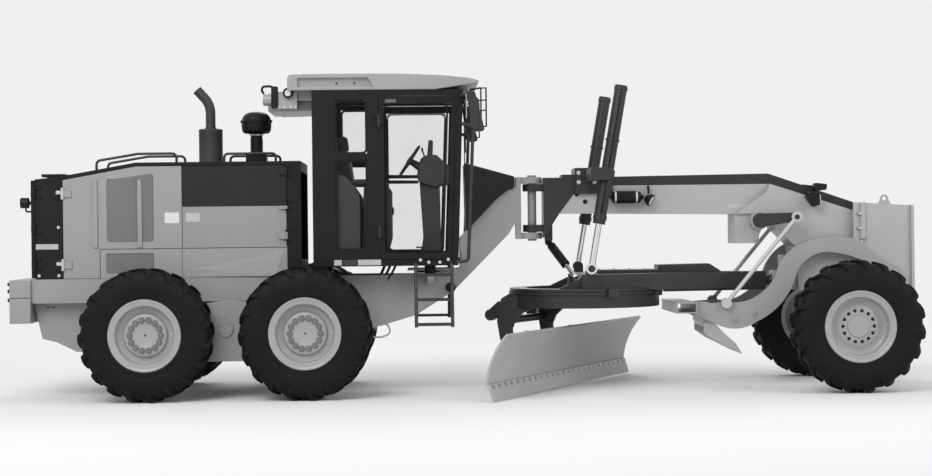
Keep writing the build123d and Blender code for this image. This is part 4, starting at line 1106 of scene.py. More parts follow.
def soft_outline(points: Sequence[Sequence[float]], radius: float,
                 steps: int = 5) -> list[tuple[float, float]]:
    """Rounds every corner of a closed flat outline.

    Args:
        points: the outline's corners, in order.
        radius: how far each bend reaches along its two sides.
        steps: points along each bend.

    Returns:
        The rounded outline.
    """
    corners = [Vector((a, b, 0.0)) for a, b in points]
    outline: list[tuple[float, float]] = []
    for index, corner in enumerate(corners):
        before = corners[index - 1] - corner
        after = corners[(index + 1) % len(corners)] - corner
        start = corner + before.normalized() * min(radius, before.length * 0.48)
        end = corner + after.normalized() * min(radius, after.length * 0.48)
        for step in range(steps + 1):
            t = step / steps
            bend = start * (1 - t) ** 2 + corner * 2 * t * (1 - t) + end * t * t
            outline.append((bend.x, bend.y))
    return outline


def spokes(count: int) -> list[Vector]:
    """Level directions evenly round the upright axis."""
    turns = (math.tau * index / count for index in range(count))
    return [Vector((math.cos(turn), math.sin(turn), 0)) for turn in turns]


def profile(points: Iterable[tuple[float, float]], radius: float,
            steps: int = 5) -> list[tuple[float, float]]:
    """Rounded outline whose first coordinate counts ahead from the tandem pivot."""
    return soft_outline([(TANDEM_X + ahead, other) for ahead, other in points], radius, steps)


def oblong(x0: float, z0: float, x1: float, z1: float, radius: float) -> list[tuple[float, float]]:
    """Rounded rectangle between two corners, whose first coordinates count from the tandem pivot."""
    return profile([(x0, z0), (x1, z0), (x1, z1), (x0, z1)], radius)


def side_spots(points: Iterable[tuple[float, float]], face: float) -> list[tuple[Point, Point]]:
    """Fastener places on a side face at y, from their (ahead, up) distances, each facing outwards."""
    return [(at(x, face, z), (0.0, math.copysign(1.0, face), 0.0)) for x, z in points]


def chord(outline: Sequence[Sequence[float]], axis: int, level: float) -> tuple[float, float] | None:
    """Where a line across a closed outline enters and leaves it.

    Args:
        outline: the outline's points.
        axis: the coordinate that the line holds constant.
        level: its value there.

    Returns:
        Lowest and highest crossing, or None outside the outline.
    """
    hits: list[float] = []
    for first, second in zip(outline, [*outline[1:], outline[0]]):
        low, high = sorted((first, second), key=lambda point: point[axis])
        if low[axis] <= level < high[axis]:
            share = (level - low[axis]) / (high[axis] - low[axis])
            hits.append(low[1 - axis] + share * (high[1 - axis] - low[1 - axis]))
    return (min(hits), max(hits)) if len(hits) > 1 else None


def strand_piece(name: str, runs: Sequence[tuple[Point, Point]], radius: float, finish: Finish,
                 sides: int = 4) -> bpy.types.Object:
    """Gives straight runs a thickness.

    Args:
        name: the piece's name.
        runs: both ends of each run.
        radius: half the thickness.
        finish: what they are made of.
        sides: flats round each run.

    Returns:
        One object that holds them all.
    """
    data = bpy.data.meshes.new(name)
    data.from_pydata([tuple(point) for run in runs for point in run],
                     [(index * 2, index * 2 + 1) for index in range(len(runs))], [])
    return Repeater.apply(linked(name, data), Repeater.strands(), {"Radius": radius, "Sides": sides}, finish)


def wire_screen(name: str, outline: Sequence[tuple[float, float]], face: float, body: str,
                pitch: float = 0.009) -> None:
    """Lays a wire screen over an (x, z) outline, on a thin dark sheet that is painted shade of the space
    behind the screen.

    Args:
        name: the start of both pieces' names.
        outline: the screen's rounded outline.
        face: the y of the panel's face that it lies on.
        body: the body it rides on.
        pitch: distance between wires.
    """
    out = math.copysign(1.0, face)
    # A thin dark sheet under the wires: painted shade of the space behind the screen.
    shade_sheet = Shape().slab(outline, face + out * 0.0004, face + out * 0.0022)
    seat(shade_sheet.build(f"{name}_backing", Finishes.SCREEN), body)
    wires: list[tuple[Point, Point]] = []
    y = face + out * 0.0030
    for axis in (0, 1):
        start = min(point[axis] for point in outline)
        stop = max(point[axis] for point in outline)
        for index in range(1, int((stop - start) / pitch)):
            level = start + index * pitch
            span = chord(outline, axis, level)
            if span is None or span[1] - span[0] < pitch:
                continue
            ends = [(level, y, span[0]), (level, y, span[1])] if axis == 0 else \
                [(span[0], y, level), (span[1], y, level)]
            wires.append((ends[0], ends[1]))
    seat(strand_piece(f"{name}_wires", wires, 0.0018, Finishes.SCREEN_WIRE), body)


def thin_plate(name: str, outline: Sequence[tuple[float, float]], face: float, body: str, finish: Finish,
               thickness: float = 0.0015) -> None:
    """Lays a thin flat plate on a side face.

    Args:
        name: the piece's name.
        outline: its (x, z) outline.
        face: the y of the face it lies on; its sign gives the outward side.
        body: the body it rides on.
        finish: what it is made of.
        thickness: how far it stands out.
    """
    out = math.copysign(1.0, face)
    seat(Shape().slab(outline, face - out * 0.0005, face + out * thickness).build(name, finish), body)


def gasket_ring(corners: Sequence[tuple[float, float]], width: float, bends: tuple[float, float],
                first: float, second: float) -> Shape:
    """A four-cornered ring, drawn from the side.

    Args:
        corners: lower rear, lower front, upper front and upper rear corner, counted from the tandem pivot.
        width: how far the inner edge lies inside the outer one.
        bends: how far the bends of the outer and the inner corners reach.
        first: the y of one face.
        second: the y of the other face.

    Returns:
        The ring's shape.
    """
    inwards = ((1, 1), (-1, 1), (-1, -1), (1, -1))
    inner = [(x + dx * width, z + dz * width) for (x, z), (dx, dz) in zip(corners, inwards)]
    return Shape().band(profile(corners, bends[0], 6), profile(inner, bends[1], 6), first, second)


# ---- wheels
@dataclass
class Wheel:
    """One tyre on its rim, dressed round the wheel's own axle."""

    row: str
    side: Side
    lug_count: int = 19
    nut_count: int = 14
    nut_circle: float = 0.150
    nut_radius: float = 0.022
    centre: Vector = field(init=False)

    # (outwards from the middle plane, radius) of half the carcass, from bead to crown
    CARCASS = ((0.1415, 0.318), (0.1415, 0.354), (0.158, 0.358), (0.165, 0.366), (0.1665, 0.379),
               (0.171, 0.383), (0.171, 0.390), (0.1705, 0.394), (0.175, 0.412), (0.180, 0.445),
               (0.1815, 0.480), (0.180, 0.515), (0.175, 0.545), (0.167, 0.572), (0.156, 0.594),
               (0.138, 0.610), (0.105, 0.618), (0.050, 0.621))
    # (outwards, top radius, root outwards, root radius, shift round the wheel, half width) along one lug
    LUG = ((0.008, 0.650, 0.008, 0.612, -0.052, 0.017), (0.050, 0.6498, 0.050, 0.612, -0.030, 0.019),
           (0.095, 0.6490, 0.095, 0.610, 0.000, 0.022), (0.130, 0.6465, 0.128, 0.604, 0.026, 0.025),
           (0.156, 0.638, 0.145, 0.592, 0.046, 0.028), (0.170, 0.618, 0.155, 0.580, 0.058, 0.028),
           (0.178, 0.590, 0.164, 0.562, 0.066, 0.025), (0.1815, 0.558, 0.172, 0.540, 0.071, 0.019))
    # (outwards, radius) of the disc with its hub, and of the rim's outer and inner faces
    DRIVEN = ((0.078, 0.205), (0.083, 0.196), (0.083, 0.120), (0.080, 0.114), (0.080, 0.0))
    STEERED = ((0.052, 0.212), (0.056, 0.206), (0.060, 0.112), (0.070, 0.106), (0.070, 0.0))
    RIM_FRONT = ((0.142, 0.330), (0.142, 0.346), (0.146, 0.352), (0.153, 0.353), (0.158, 0.348),
                 (0.159, 0.338), (0.156, 0.328), (0.150, 0.321), (0.150, 0.305), (0.146, 0.301),
                 (0.147, 0.294), (0.142, 0.287), (0.122, 0.283), (0.082, 0.279), (0.060, 0.272),
                 (0.050, 0.258), (0.048, 0.222))
    RIM_BACK = ((0.020, 0.0), (0.020, 0.262), (-0.020, 0.290), (-0.126, 0.296), (-0.150, 0.318),
                (-0.157, 0.340), (-0.156, 0.350), (-0.150, 0.353), (-0.144, 0.349), (-0.142, 0.340),
                (-0.142, 0.316), (0.142, 0.316))

    # how far outwards the valve's foot, its cap and its tip lie
    VALVE = (0.10, 0.145, 0.158)

    def __post_init__(self) -> None:
        """Finds the wheel's centre."""
        self.centre = box_middle(f"tyre_{self.row}_{self.side.label}")

    def build(self) -> None:
        """Makes the tyre, its lugs, the rim, the nuts or the dark discs of painted shade that stand for
        holes, and the valve.
        """
        name = f"{self.row}_{self.side.label}"
        body = f"wheel_{name}"
        mirrored = [(-out, radius) for out, radius in reversed(self.CARCASS)]
        section = [*self.CARCASS, (0.0, 0.6215), *mirrored, (0.0, 0.318)]
        carcass = Shape().lathe(self.centre, self.side.out, section, 96)
        seat(carcass.build(f"tyre_{name}_carcass", Finishes.RUBBER), body, f"tyre_{name}")
        for half, offset in ((1, 0.0), (-1, 0.5)):
            lug = self._lug(half).build(f"tyre_{name}_lugs_{'outer' if half > 0 else 'inner'}",
                                        Finishes.RUBBER, bevel=0.004, segments=1)
            Repeater.apply(lug, Repeater.ring(), {
                "Count": self.lug_count, "Centre": self.centre, "Axis": (0, 1, 0),
                "Start": offset * math.tau / self.lug_count}, Finishes.RUBBER)
            seat(lug, body)
        driven = self.row != "front"
        hub = self.DRIVEN if driven else self.STEERED
        seat(self._rim(hub).build(f"rim_{name}_dish", Finishes.WHEEL), body, f"rim_{name}")
        self._nuts(name, body, driven)

    def _rim(self, hub: Sequence[tuple[float, float]]) -> Shape:
        """One closed rim and disc."""
        section = [(hub[-1][0], 0.0), *reversed(hub), *reversed(self.RIM_FRONT), *reversed(self.RIM_BACK)]
        return Shape().lathe(self.centre, self.side.out, section, 96)

    def _lug(self, half: int) -> Shape:
        """One lug of the outer (1) or inner (-1) half of the tread, at the top of the wheel.

        Args:
            half: 1 for the outer half, -1 for the inner one.

        Returns:
            The lug's shape.
        """
        shape = Shape()
        corners: list[Vector] = []
        for out, top, root_out, root, shift, width in self.LUG:
            for reach, radius in ((out, top), (root_out, root)):
                for edge in (-width, width):
                    corners.append(self._spot((shift + edge) / TYRE_RADIUS, radius, half * reach))
        faces: list[Sequence[int]] = [(0, 1, 3, 2)]
        last = len(self.LUG) - 1
        for step in range(last):
            a, b = step * 4, step * 4 + 4
            faces += [(a, b, b + 1, a + 1), (a + 1, b + 1, b + 3, a + 3), (a + 3, b + 3, b + 2, a + 2),
                      (a + 2, b + 2, b, a)]
        end = last * 4
        faces.append((end, end + 2, end + 3, end + 1))
        shape._faces(corners, faces)
        return shape

    def _spot(self, turn: float, radius: float, outwards: float) -> Vector:
        """A point from its angle and distance round the axle, and its distance outwards."""
        return self.centre + Vector((math.sin(turn) * radius, self.side * outwards,
                                     math.cos(turn) * radius))

    def _nuts(self, name: str, body: str, driven: bool) -> None:
        """Nuts of a driven wheel, painted darker as shade of their undersides, with a dark disc of painted
        shade for its centre hole, or dark discs of painted shade for a steered wheel's holes, and the valve.

        Args:
            name: the wheel's name.
            body: its body.
            driven: whether it is a rear wheel.
        """
        face = self.DRIVEN[1][0] if driven else self.STEERED[1][0] + 0.002
        spots = [(self._spot(math.tau * (index + 0.5) / self.nut_count, self.nut_circle, face), self.side.out)
                 for index in range(self.nut_count)]
        if driven:
            # Nuts in a darker paint than the rim: painted shade of their undersides.
            seat(fasten(f"rim_{name}_nuts", spots, self.nut_radius, 0.020, Finishes.NUT, 20), body)
            # A thin dark disc: painted shade standing for the centre hole.
            centre = [(self._spot(0.0, 0.0, self.DRIVEN[-1][0]), self.side.out)]
            seat(fasten(f"rim_{name}_centre_hole", centre, 0.007, 0.001, Finishes.GASKET, 20), body)
        else:
            # Thin dark discs: painted shade standing for the holes round the hub.
            seat(fasten(f"rim_{name}_holes", spots, 0.014, 0.0015, Finishes.BLACK, 20), body)
        foot, neck, tip = (self.centre + Vector((0.262, self.side * out, 0.02)) for out in self.VALVE)
        valve = Shape().rod(foot, neck, 0.004, 10).rod(neck, tip, 0.006, 10)
        seat(valve.build(f"rim_{name}_valve", Finishes.ZINC), body)


# ---- plain CAD pieces with their finishes
class Panelwork:
    """Every CAD node whose form stays, with its finish and the rounding of its edges in metres."""

    NODES: dict[str, tuple[Finish, float]] = {
        "rear_frame": (Finishes.BODY, 0.005), "counterweight": (Finishes.BODY, 0.006),
        "tandem_cases": (Finishes.BODY, 0.008), "cooling_box": (Finishes.BLACK, 0.004),
        "rear_grille_door": (Finishes.BLACK, 0.002), "hood_frame": (Finishes.BLACK, 0.004),
        "hood_lower_panels": (Finishes.BODY, 0.003), "engine": (Finishes.CHARCOAL, 0.01),
        "hood_door_rear_left": (Finishes.BODY, 0.003), "hood_door_rear_right": (Finishes.BODY, 0.003),
        "hood_door_front_left": (Finishes.HOOD_STRIPE, 0.003),
        "hood_door_front_right": (Finishes.HOOD_STRIPE, 0.003),
        "cab_frame": (Finishes.BLACK, 0.006), "cab_door_left": (Finishes.BLACK, 0.004),
        "cab_door_right": (Finishes.BLACK, 0.004), "cab_roof": (Finishes.ROOF, 0.012),
        "roof_boxes": (Finishes.BODY, 0.006),
        "ladders_and_rails": (Finishes.CHARCOAL, 0.0), "neck_cowl": (Finishes.COWL, 0.012),
        "front_casting": (Finishes.CHARCOAL, 0.006), "front_frame": (Finishes.BEAM_BAND, 0.006),
        "push_block": (Finishes.NOSE, 0.004),
        "front_axle": (Finishes.BODY, 0.006), "lean_bracket_left": (Finishes.BODY, 0.004),
        "lean_bracket_right": (Finishes.BODY, 0.004), "steering_knuckle_left": (Finishes.BODY, 0.004),
        "steering_knuckle_right": (Finishes.BODY, 0.004), "drawbar": (Finishes.CHARCOAL, 0.005),
        "circle": (Finishes.CHARCOAL, 0.004), "moldboard": (Finishes.BLADE, 0.003),
        "cutting_edge": (Finishes.BLADE, 0.002), "blade_carrier": (Finishes.CHARCOAL, 0.004),
        "lift_barrels": (Finishes.CHARCOAL, 0.003), "lift_rods": (Finishes.CHROME, 0.002),
        "shift_barrel": (Finishes.BLACK, 0.003), "shift_rod": (Finishes.CHROME, 0.001),
        "scarifier_frame": (Finishes.ARM, 0.005), "scarifier_shanks": (Finishes.STEEL, 0.003),
        "scarifier_crank": (Finishes.CHARCOAL, 0.004), "scarifier_links": (Finishes.LIGHT, 0.003),
    }
    PANES = ("cab_glass", "cab_door_glass_left", "cab_door_glass_right")

    def build(self) -> None:
        """Dresses each node."""
        for node, (finish, bevel) in self.NODES.items():
            refined(node, finish, bevel)
        for node in self.PANES:
            coat(frame["nodes"][node].data, Finishes.GLASS)


# ---- engine module
@dataclass
class EngineModule:
    """Screens, seams, plates, hinges and fasteners of the hood, its cooling box and the frame under it."""

    side: Side
    half: float = 0.560
    hinge_x: float = -1.659
    hinge_y: float = 0.576
    hinges: tuple[float, float] = (2.040, 1.330)

    UPPER_SCREEN = ((-1.224, 1.556), (-0.760, 1.556), (-0.760, 2.231), (-1.224, 2.173))
    LOWER_SCREEN = ((-1.233, 1.243), (-0.761, 1.243), (-0.761, 1.441), (-1.233, 1.441))
    PANEL_SCREWS = ((-1.262, 1.438), (-0.540, 1.438), (-1.262, 1.227), (-0.422, 1.438), (0.449, 1.443),
                    (-0.422, 1.221))
    BOX_BOLTS = ((-1.704, 1.705), (-1.900, 1.226), (-1.704, 1.226))
    PORTAL_SLOTS = (2.231, 1.886, 1.343)
    PORTAL_BOLTS = (2.12, 2.02, 1.78, 1.66, 1.54, 1.44)

    @property
    def face(self) -> float:
        """The y of the hood's side."""
        return self.side * self.half

    def build(self) -> None:
        """Dresses this side."""
        label = self.side.label
        for part, outline, body, radius in (("upper", self.UPPER_SCREEN, f"hood_door_rear_{label}", 0.035),
                                            ("lower", self.LOWER_SCREEN, REAR, 0.02)):
            wire_screen(f"hood_screen_{part}_{label}", profile(outline, radius), self.face, body)
        thin_plate(f"hood_seam_{label}", oblong(-0.482, 1.20, -0.478, 1.478, 0.001), self.face,
                   REAR, Finishes.GASKET, 0.0008)
        # A flat plate in lighter paint: painted light standing for the sloping facet of the lower panel.
        facet = [(TANDEM_X + x, z) for x, z in ((-0.463, 1.262), (0.433, 1.262), (0.545, 1.440))]
        thin_plate(f"hood_facet_{label}", facet, self.face, REAR, Finishes.FACET, 0.003)
        thin_plate(f"blank_plate_rear_{label}", oblong(-0.649, 1.735, -0.507, 1.841, 0.008), self.face,
                   f"hood_door_rear_{label}", Finishes.PLATE)
        thin_plate(f"blank_plate_front_{label}", oblong(-0.441, 1.744, -0.300, 1.835, 0.02), self.face,
                   f"hood_door_front_{label}", Finishes.DULL_PLATE)
        seat(fasten(f"hood_panel_screws_{label}", side_spots(self.PANEL_SCREWS, self.face), 0.006, 0.002,
                    Finishes.STEEL), REAR)
        self._hinges(label)
        self._cooling_box(label)
        self._portal(label)
        self._frame(label)

    def _hinges(self, label: str) -> None:
        """Pale hinge castings of the rear side door.

        Args:
            label: the side's name in piece names.
        """
        pin = self.side * self.hinge_y
        for name, z in zip(("upper", "lower"), self.hinges):
            shape = Shape().rod(at(self.hinge_x, pin, z - 0.0585), at(self.hinge_x, pin, z + 0.0585),
                                0.0155, 24)
            shape.box(at(-1.722, self.face, z - 0.006),
                      at(self.hinge_x, self.side * (self.hinge_y + 0.006), z + 0.030))
            seat(shape.build(f"hood_hinge_{name}_{label}", Finishes.LIGHT, 0.003), REAR)

    def _cooling_box(self, label: str) -> None:
        """Reflector and bolts on the black box at the rear.

        Args:
            label: the side's name in piece names.
        """
        thin_plate(f"side_reflector_{label}", oblong(-1.928, 1.487, -1.706, 1.540, 0.004), self.face,
                   REAR, Finishes.REFLECTOR, 0.003)
        seat(fasten(f"cooling_box_bolts_{label}", side_spots(self.BOX_BOLTS, self.face), 0.010, 0.005,
                    Finishes.ZINC), REAR)

    def _portal(self, label: str) -> None:
        """Thin dark plates of painted shade standing for cable openings, and bolts, in the frame ahead of the
        doors.

        Args:
            label: the side's name in piece names.
        """
        face = self.side * (self.half + 0.008)
        # Each opening is a thin dark plate: painted shade where the hole would be.
        for index, z in enumerate(self.PORTAL_SLOTS):
            thin_plate(f"portal_opening_{index}_{label}", oblong(0.618, z - 0.030, 0.662, z + 0.030, 0.02),
                       face, REAR, Finishes.GASKET, 0.0012)
        spots = side_spots([(0.688, z) for z in self.PORTAL_BOLTS], face)
        seat(fasten(f"portal_bolts_{label}", spots, 0.006, 0.003, Finishes.BLACK), REAR)

    def _frame(self, label: str) -> None:
        """Lower edge of the side band, thin dark plates of painted shade standing for slots, and the tandem
        case's cover ring and plugs.

        Args:
            label: the side's name in piece names.
        """
        band = self.side * 0.556
        rim = Shape().box(at(-1.966, band, 0.950), at(0.700, band + self.side * 0.006, 0.966))
        seat(rim.build(f"frame_band_edge_{label}", Finishes.BODY, 0.002), REAR)
        case = self.side * 0.790
        ring = Shape().hoop(at(-0.030, case + self.side * 0.013, 0.680), (0, 1, 0), 0.068, 0.006, 40)
        seat(ring.build(f"tandem_cover_ring_{label}", Finishes.BODY), REAR)
        spots = side_spots([(-0.030, 0.680 + rise) for rise in (0.125, -0.125)], case)
        seat(fasten(f"tandem_plugs_{label}", spots, 0.012, 0.008, Finishes.BODY), REAR)
        # Slots drawn as thin dark plates: painted shade.
        for index, x in enumerate((-1.842, -1.790)):
            thin_plate(f"frame_slot_{index}_{label}", oblong(x - 0.016, 0.900, x + 0.016, 0.912, 0.006),
                       self.side * 0.420, REAR, Finishes.GASKET, 0.001)


@dataclass
class HoodTop:
    """Exhaust stack and air pre-cleaner on the hood, rear lamps, and the counterweight's lugs and seam."""

    deck: float = 2.343
    stack_x: float = -0.247
    muffler_radius: float = 0.121
    muffler_top: float = 2.700
    pipe_radius: float = 0.050
    cleaner_x: float = 0.222

    CLEANER = ((2.343, 0.0), (2.343, 0.066), (2.470, 0.066), (2.470, 0.060), (2.625, 0.060), (2.640, 0.064),
               (2.648, 0.090), (2.652, 0.124), (2.662, 0.138), (2.680, 0.147), (2.720, 0.152), (2.762, 0.153),
               (2.768, 0.156), (2.778, 0.156), (2.784, 0.150), (2.810, 0.143), (2.835, 0.128), (2.855, 0.104),
               (2.868, 0.070), (2.874, 0.030), (2.875, 0.0))

    def build(self) -> None:
        """Makes the stack, the cleaner, the lamps and the counterweight's fittings."""
        self._stack()
        self._cleaner()
        self._tail()

    def _stack(self) -> None:
        """Muffler with rolled ends, and its bent pipe, whose closed end carries a dark disc: painted shade of
        the open mouth, darkened by soot as well.
        """
        top, radius = self.muffler_top, self.muffler_radius
        foot = at(self.stack_x, 0, 0)
        section = [(self.deck, 0.0), (self.deck, radius), (self.deck + 0.012, radius + 0.003),
                   (self.deck + 0.022, radius), (top - 0.026, radius), (top - 0.018, radius + 0.003),
                   (top - 0.006, radius + 0.001), (top, radius - 0.010),
                   (top + 0.002, self.pipe_radius + 0.008), (top + 0.018, self.pipe_radius + 0.007),
                   (top + 0.018, 0.0)]
        shape = Shape().lathe(foot, (0, 0, 1), section, 64)
        path = rounded([at(self.stack_x, 0, top), at(self.stack_x, 0, 2.955),
                        at(self.stack_x - 0.132, 0, 3.100)], 0.13, 12)
        shape.sweep(path, self.pipe_radius, 32)
        seat(shape.build("exhaust_stack_dressed", Finishes.SOOT), REAR, "exhaust_stack")
        along = (path[-1] - path[-2]).normalized()
        # A thin dark disc over the pipe's closed end: painted shade standing for the sooty open mouth.
        mouth = Shape().lathe(path[-1], along, [(0.0, 0.0), (0.001, 0.0435), (0.0012, 0.0)], 32)
        seat(mouth.build("exhaust_mouth", Finishes.GASKET), REAR)
        lip = Shape().hoop(path[-1], along, self.pipe_radius - 0.002, 0.0035, 32)
        seat(lip.build("exhaust_lip", Finishes.SOOT), REAR)

    def _cleaner(self) -> None:
        """Domed bowl on its ribbed neck and square base, with side clips and a bright clamp."""
        foot = at(self.cleaner_x, 0, 0)
        shape = Shape().lathe(foot, (0, 0, 1), list(self.CLEANER), 64)
        level = foot + Vector((0, 0, 2.775))
        for way in spokes(4):
            shape.rod(level + way * 0.140, level + way * 0.163, 0.014, 16)
        shape.slab(oblong(0.117, -0.105, 0.327, 0.105, 0.02), self.deck - 0.001, self.deck + 0.095, Lay.XY)
        for way in spokes(10):
            rib = foot + way * 0.0595
            shape.box(rib + Vector((-0.004, -0.004, 2.48)), rib + Vector((0.004, 0.004, 2.60)))
        seat(shape.build("air_precleaner_dressed", Finishes.BLACK), REAR, "air_precleaner")
        clamp = Shape().lathe(foot, (0, 0, 1), [(2.628, 0.0605), (2.628, 0.0680), (2.644, 0.0680),
                                                (2.644, 0.0605)], 48)
        clamp.rod(foot + Vector((-0.03, -0.070, 2.636)), foot + Vector((0.012, -0.070, 2.636)), 0.006, 12)
        seat(clamp.build("precleaner_clamp", Finishes.ZINC), REAR)

    def _tail(self) -> None:
        """Lenses, bezels and stays of the rear lamps, and the counterweight's lugs and seam."""
        for side in Side:
            y = side * 0.525
            middle = at(-2.068, y, 1.952)
            lens = Shape().lathe(middle, (-1, 0, 0), [(0.0, 0.0), (0.0, 0.043), (0.006, 0.040),
                                                      (0.009, 0.022), (0.010, 0.0)], 32)
            seat(lens.build(f"rear_lamp_lens_{side.label}", Finishes.LENS), "rear_grille_door")
            bezel = Shape().lathe(middle, (-1, 0, 0), [(-0.002, 0.044), (0.010, 0.045), (0.010, 0.052),
                                                       (-0.002, 0.053)], 32)
            seat(bezel.build(f"rear_lamp_bezel_{side.label}", Finishes.BLACK), "rear_grille_door")
            stay = Shape().tube([at(-2.03, y, 1.91), at(-2.03, y, 1.865), at(-1.974, y, 1.865)], 0.009, 0.02)
            seat(stay.build(f"rear_lamp_stay_{side.label}", Finishes.BLACK), "rear_grille_door")
        lugs = Shape()
        for z in (0.985, 1.075, 1.145):
            lugs.slab(profile([(-2.189, z - 0.022), (-2.212, z - 0.014), (-2.212, z + 0.014),
                               (-2.189, z + 0.022)], 0.006), -0.575, -0.535)
        seat(lugs.mirrored().build("counterweight_lugs", Finishes.GASKET, 0.002), REAR)
        seam = Shape().box(at(-2.191, -0.601, 1.004), at(-1.985, 0.601, 1.010))
        seat(seam.build("counterweight_seam", Finishes.GASKET), REAR)


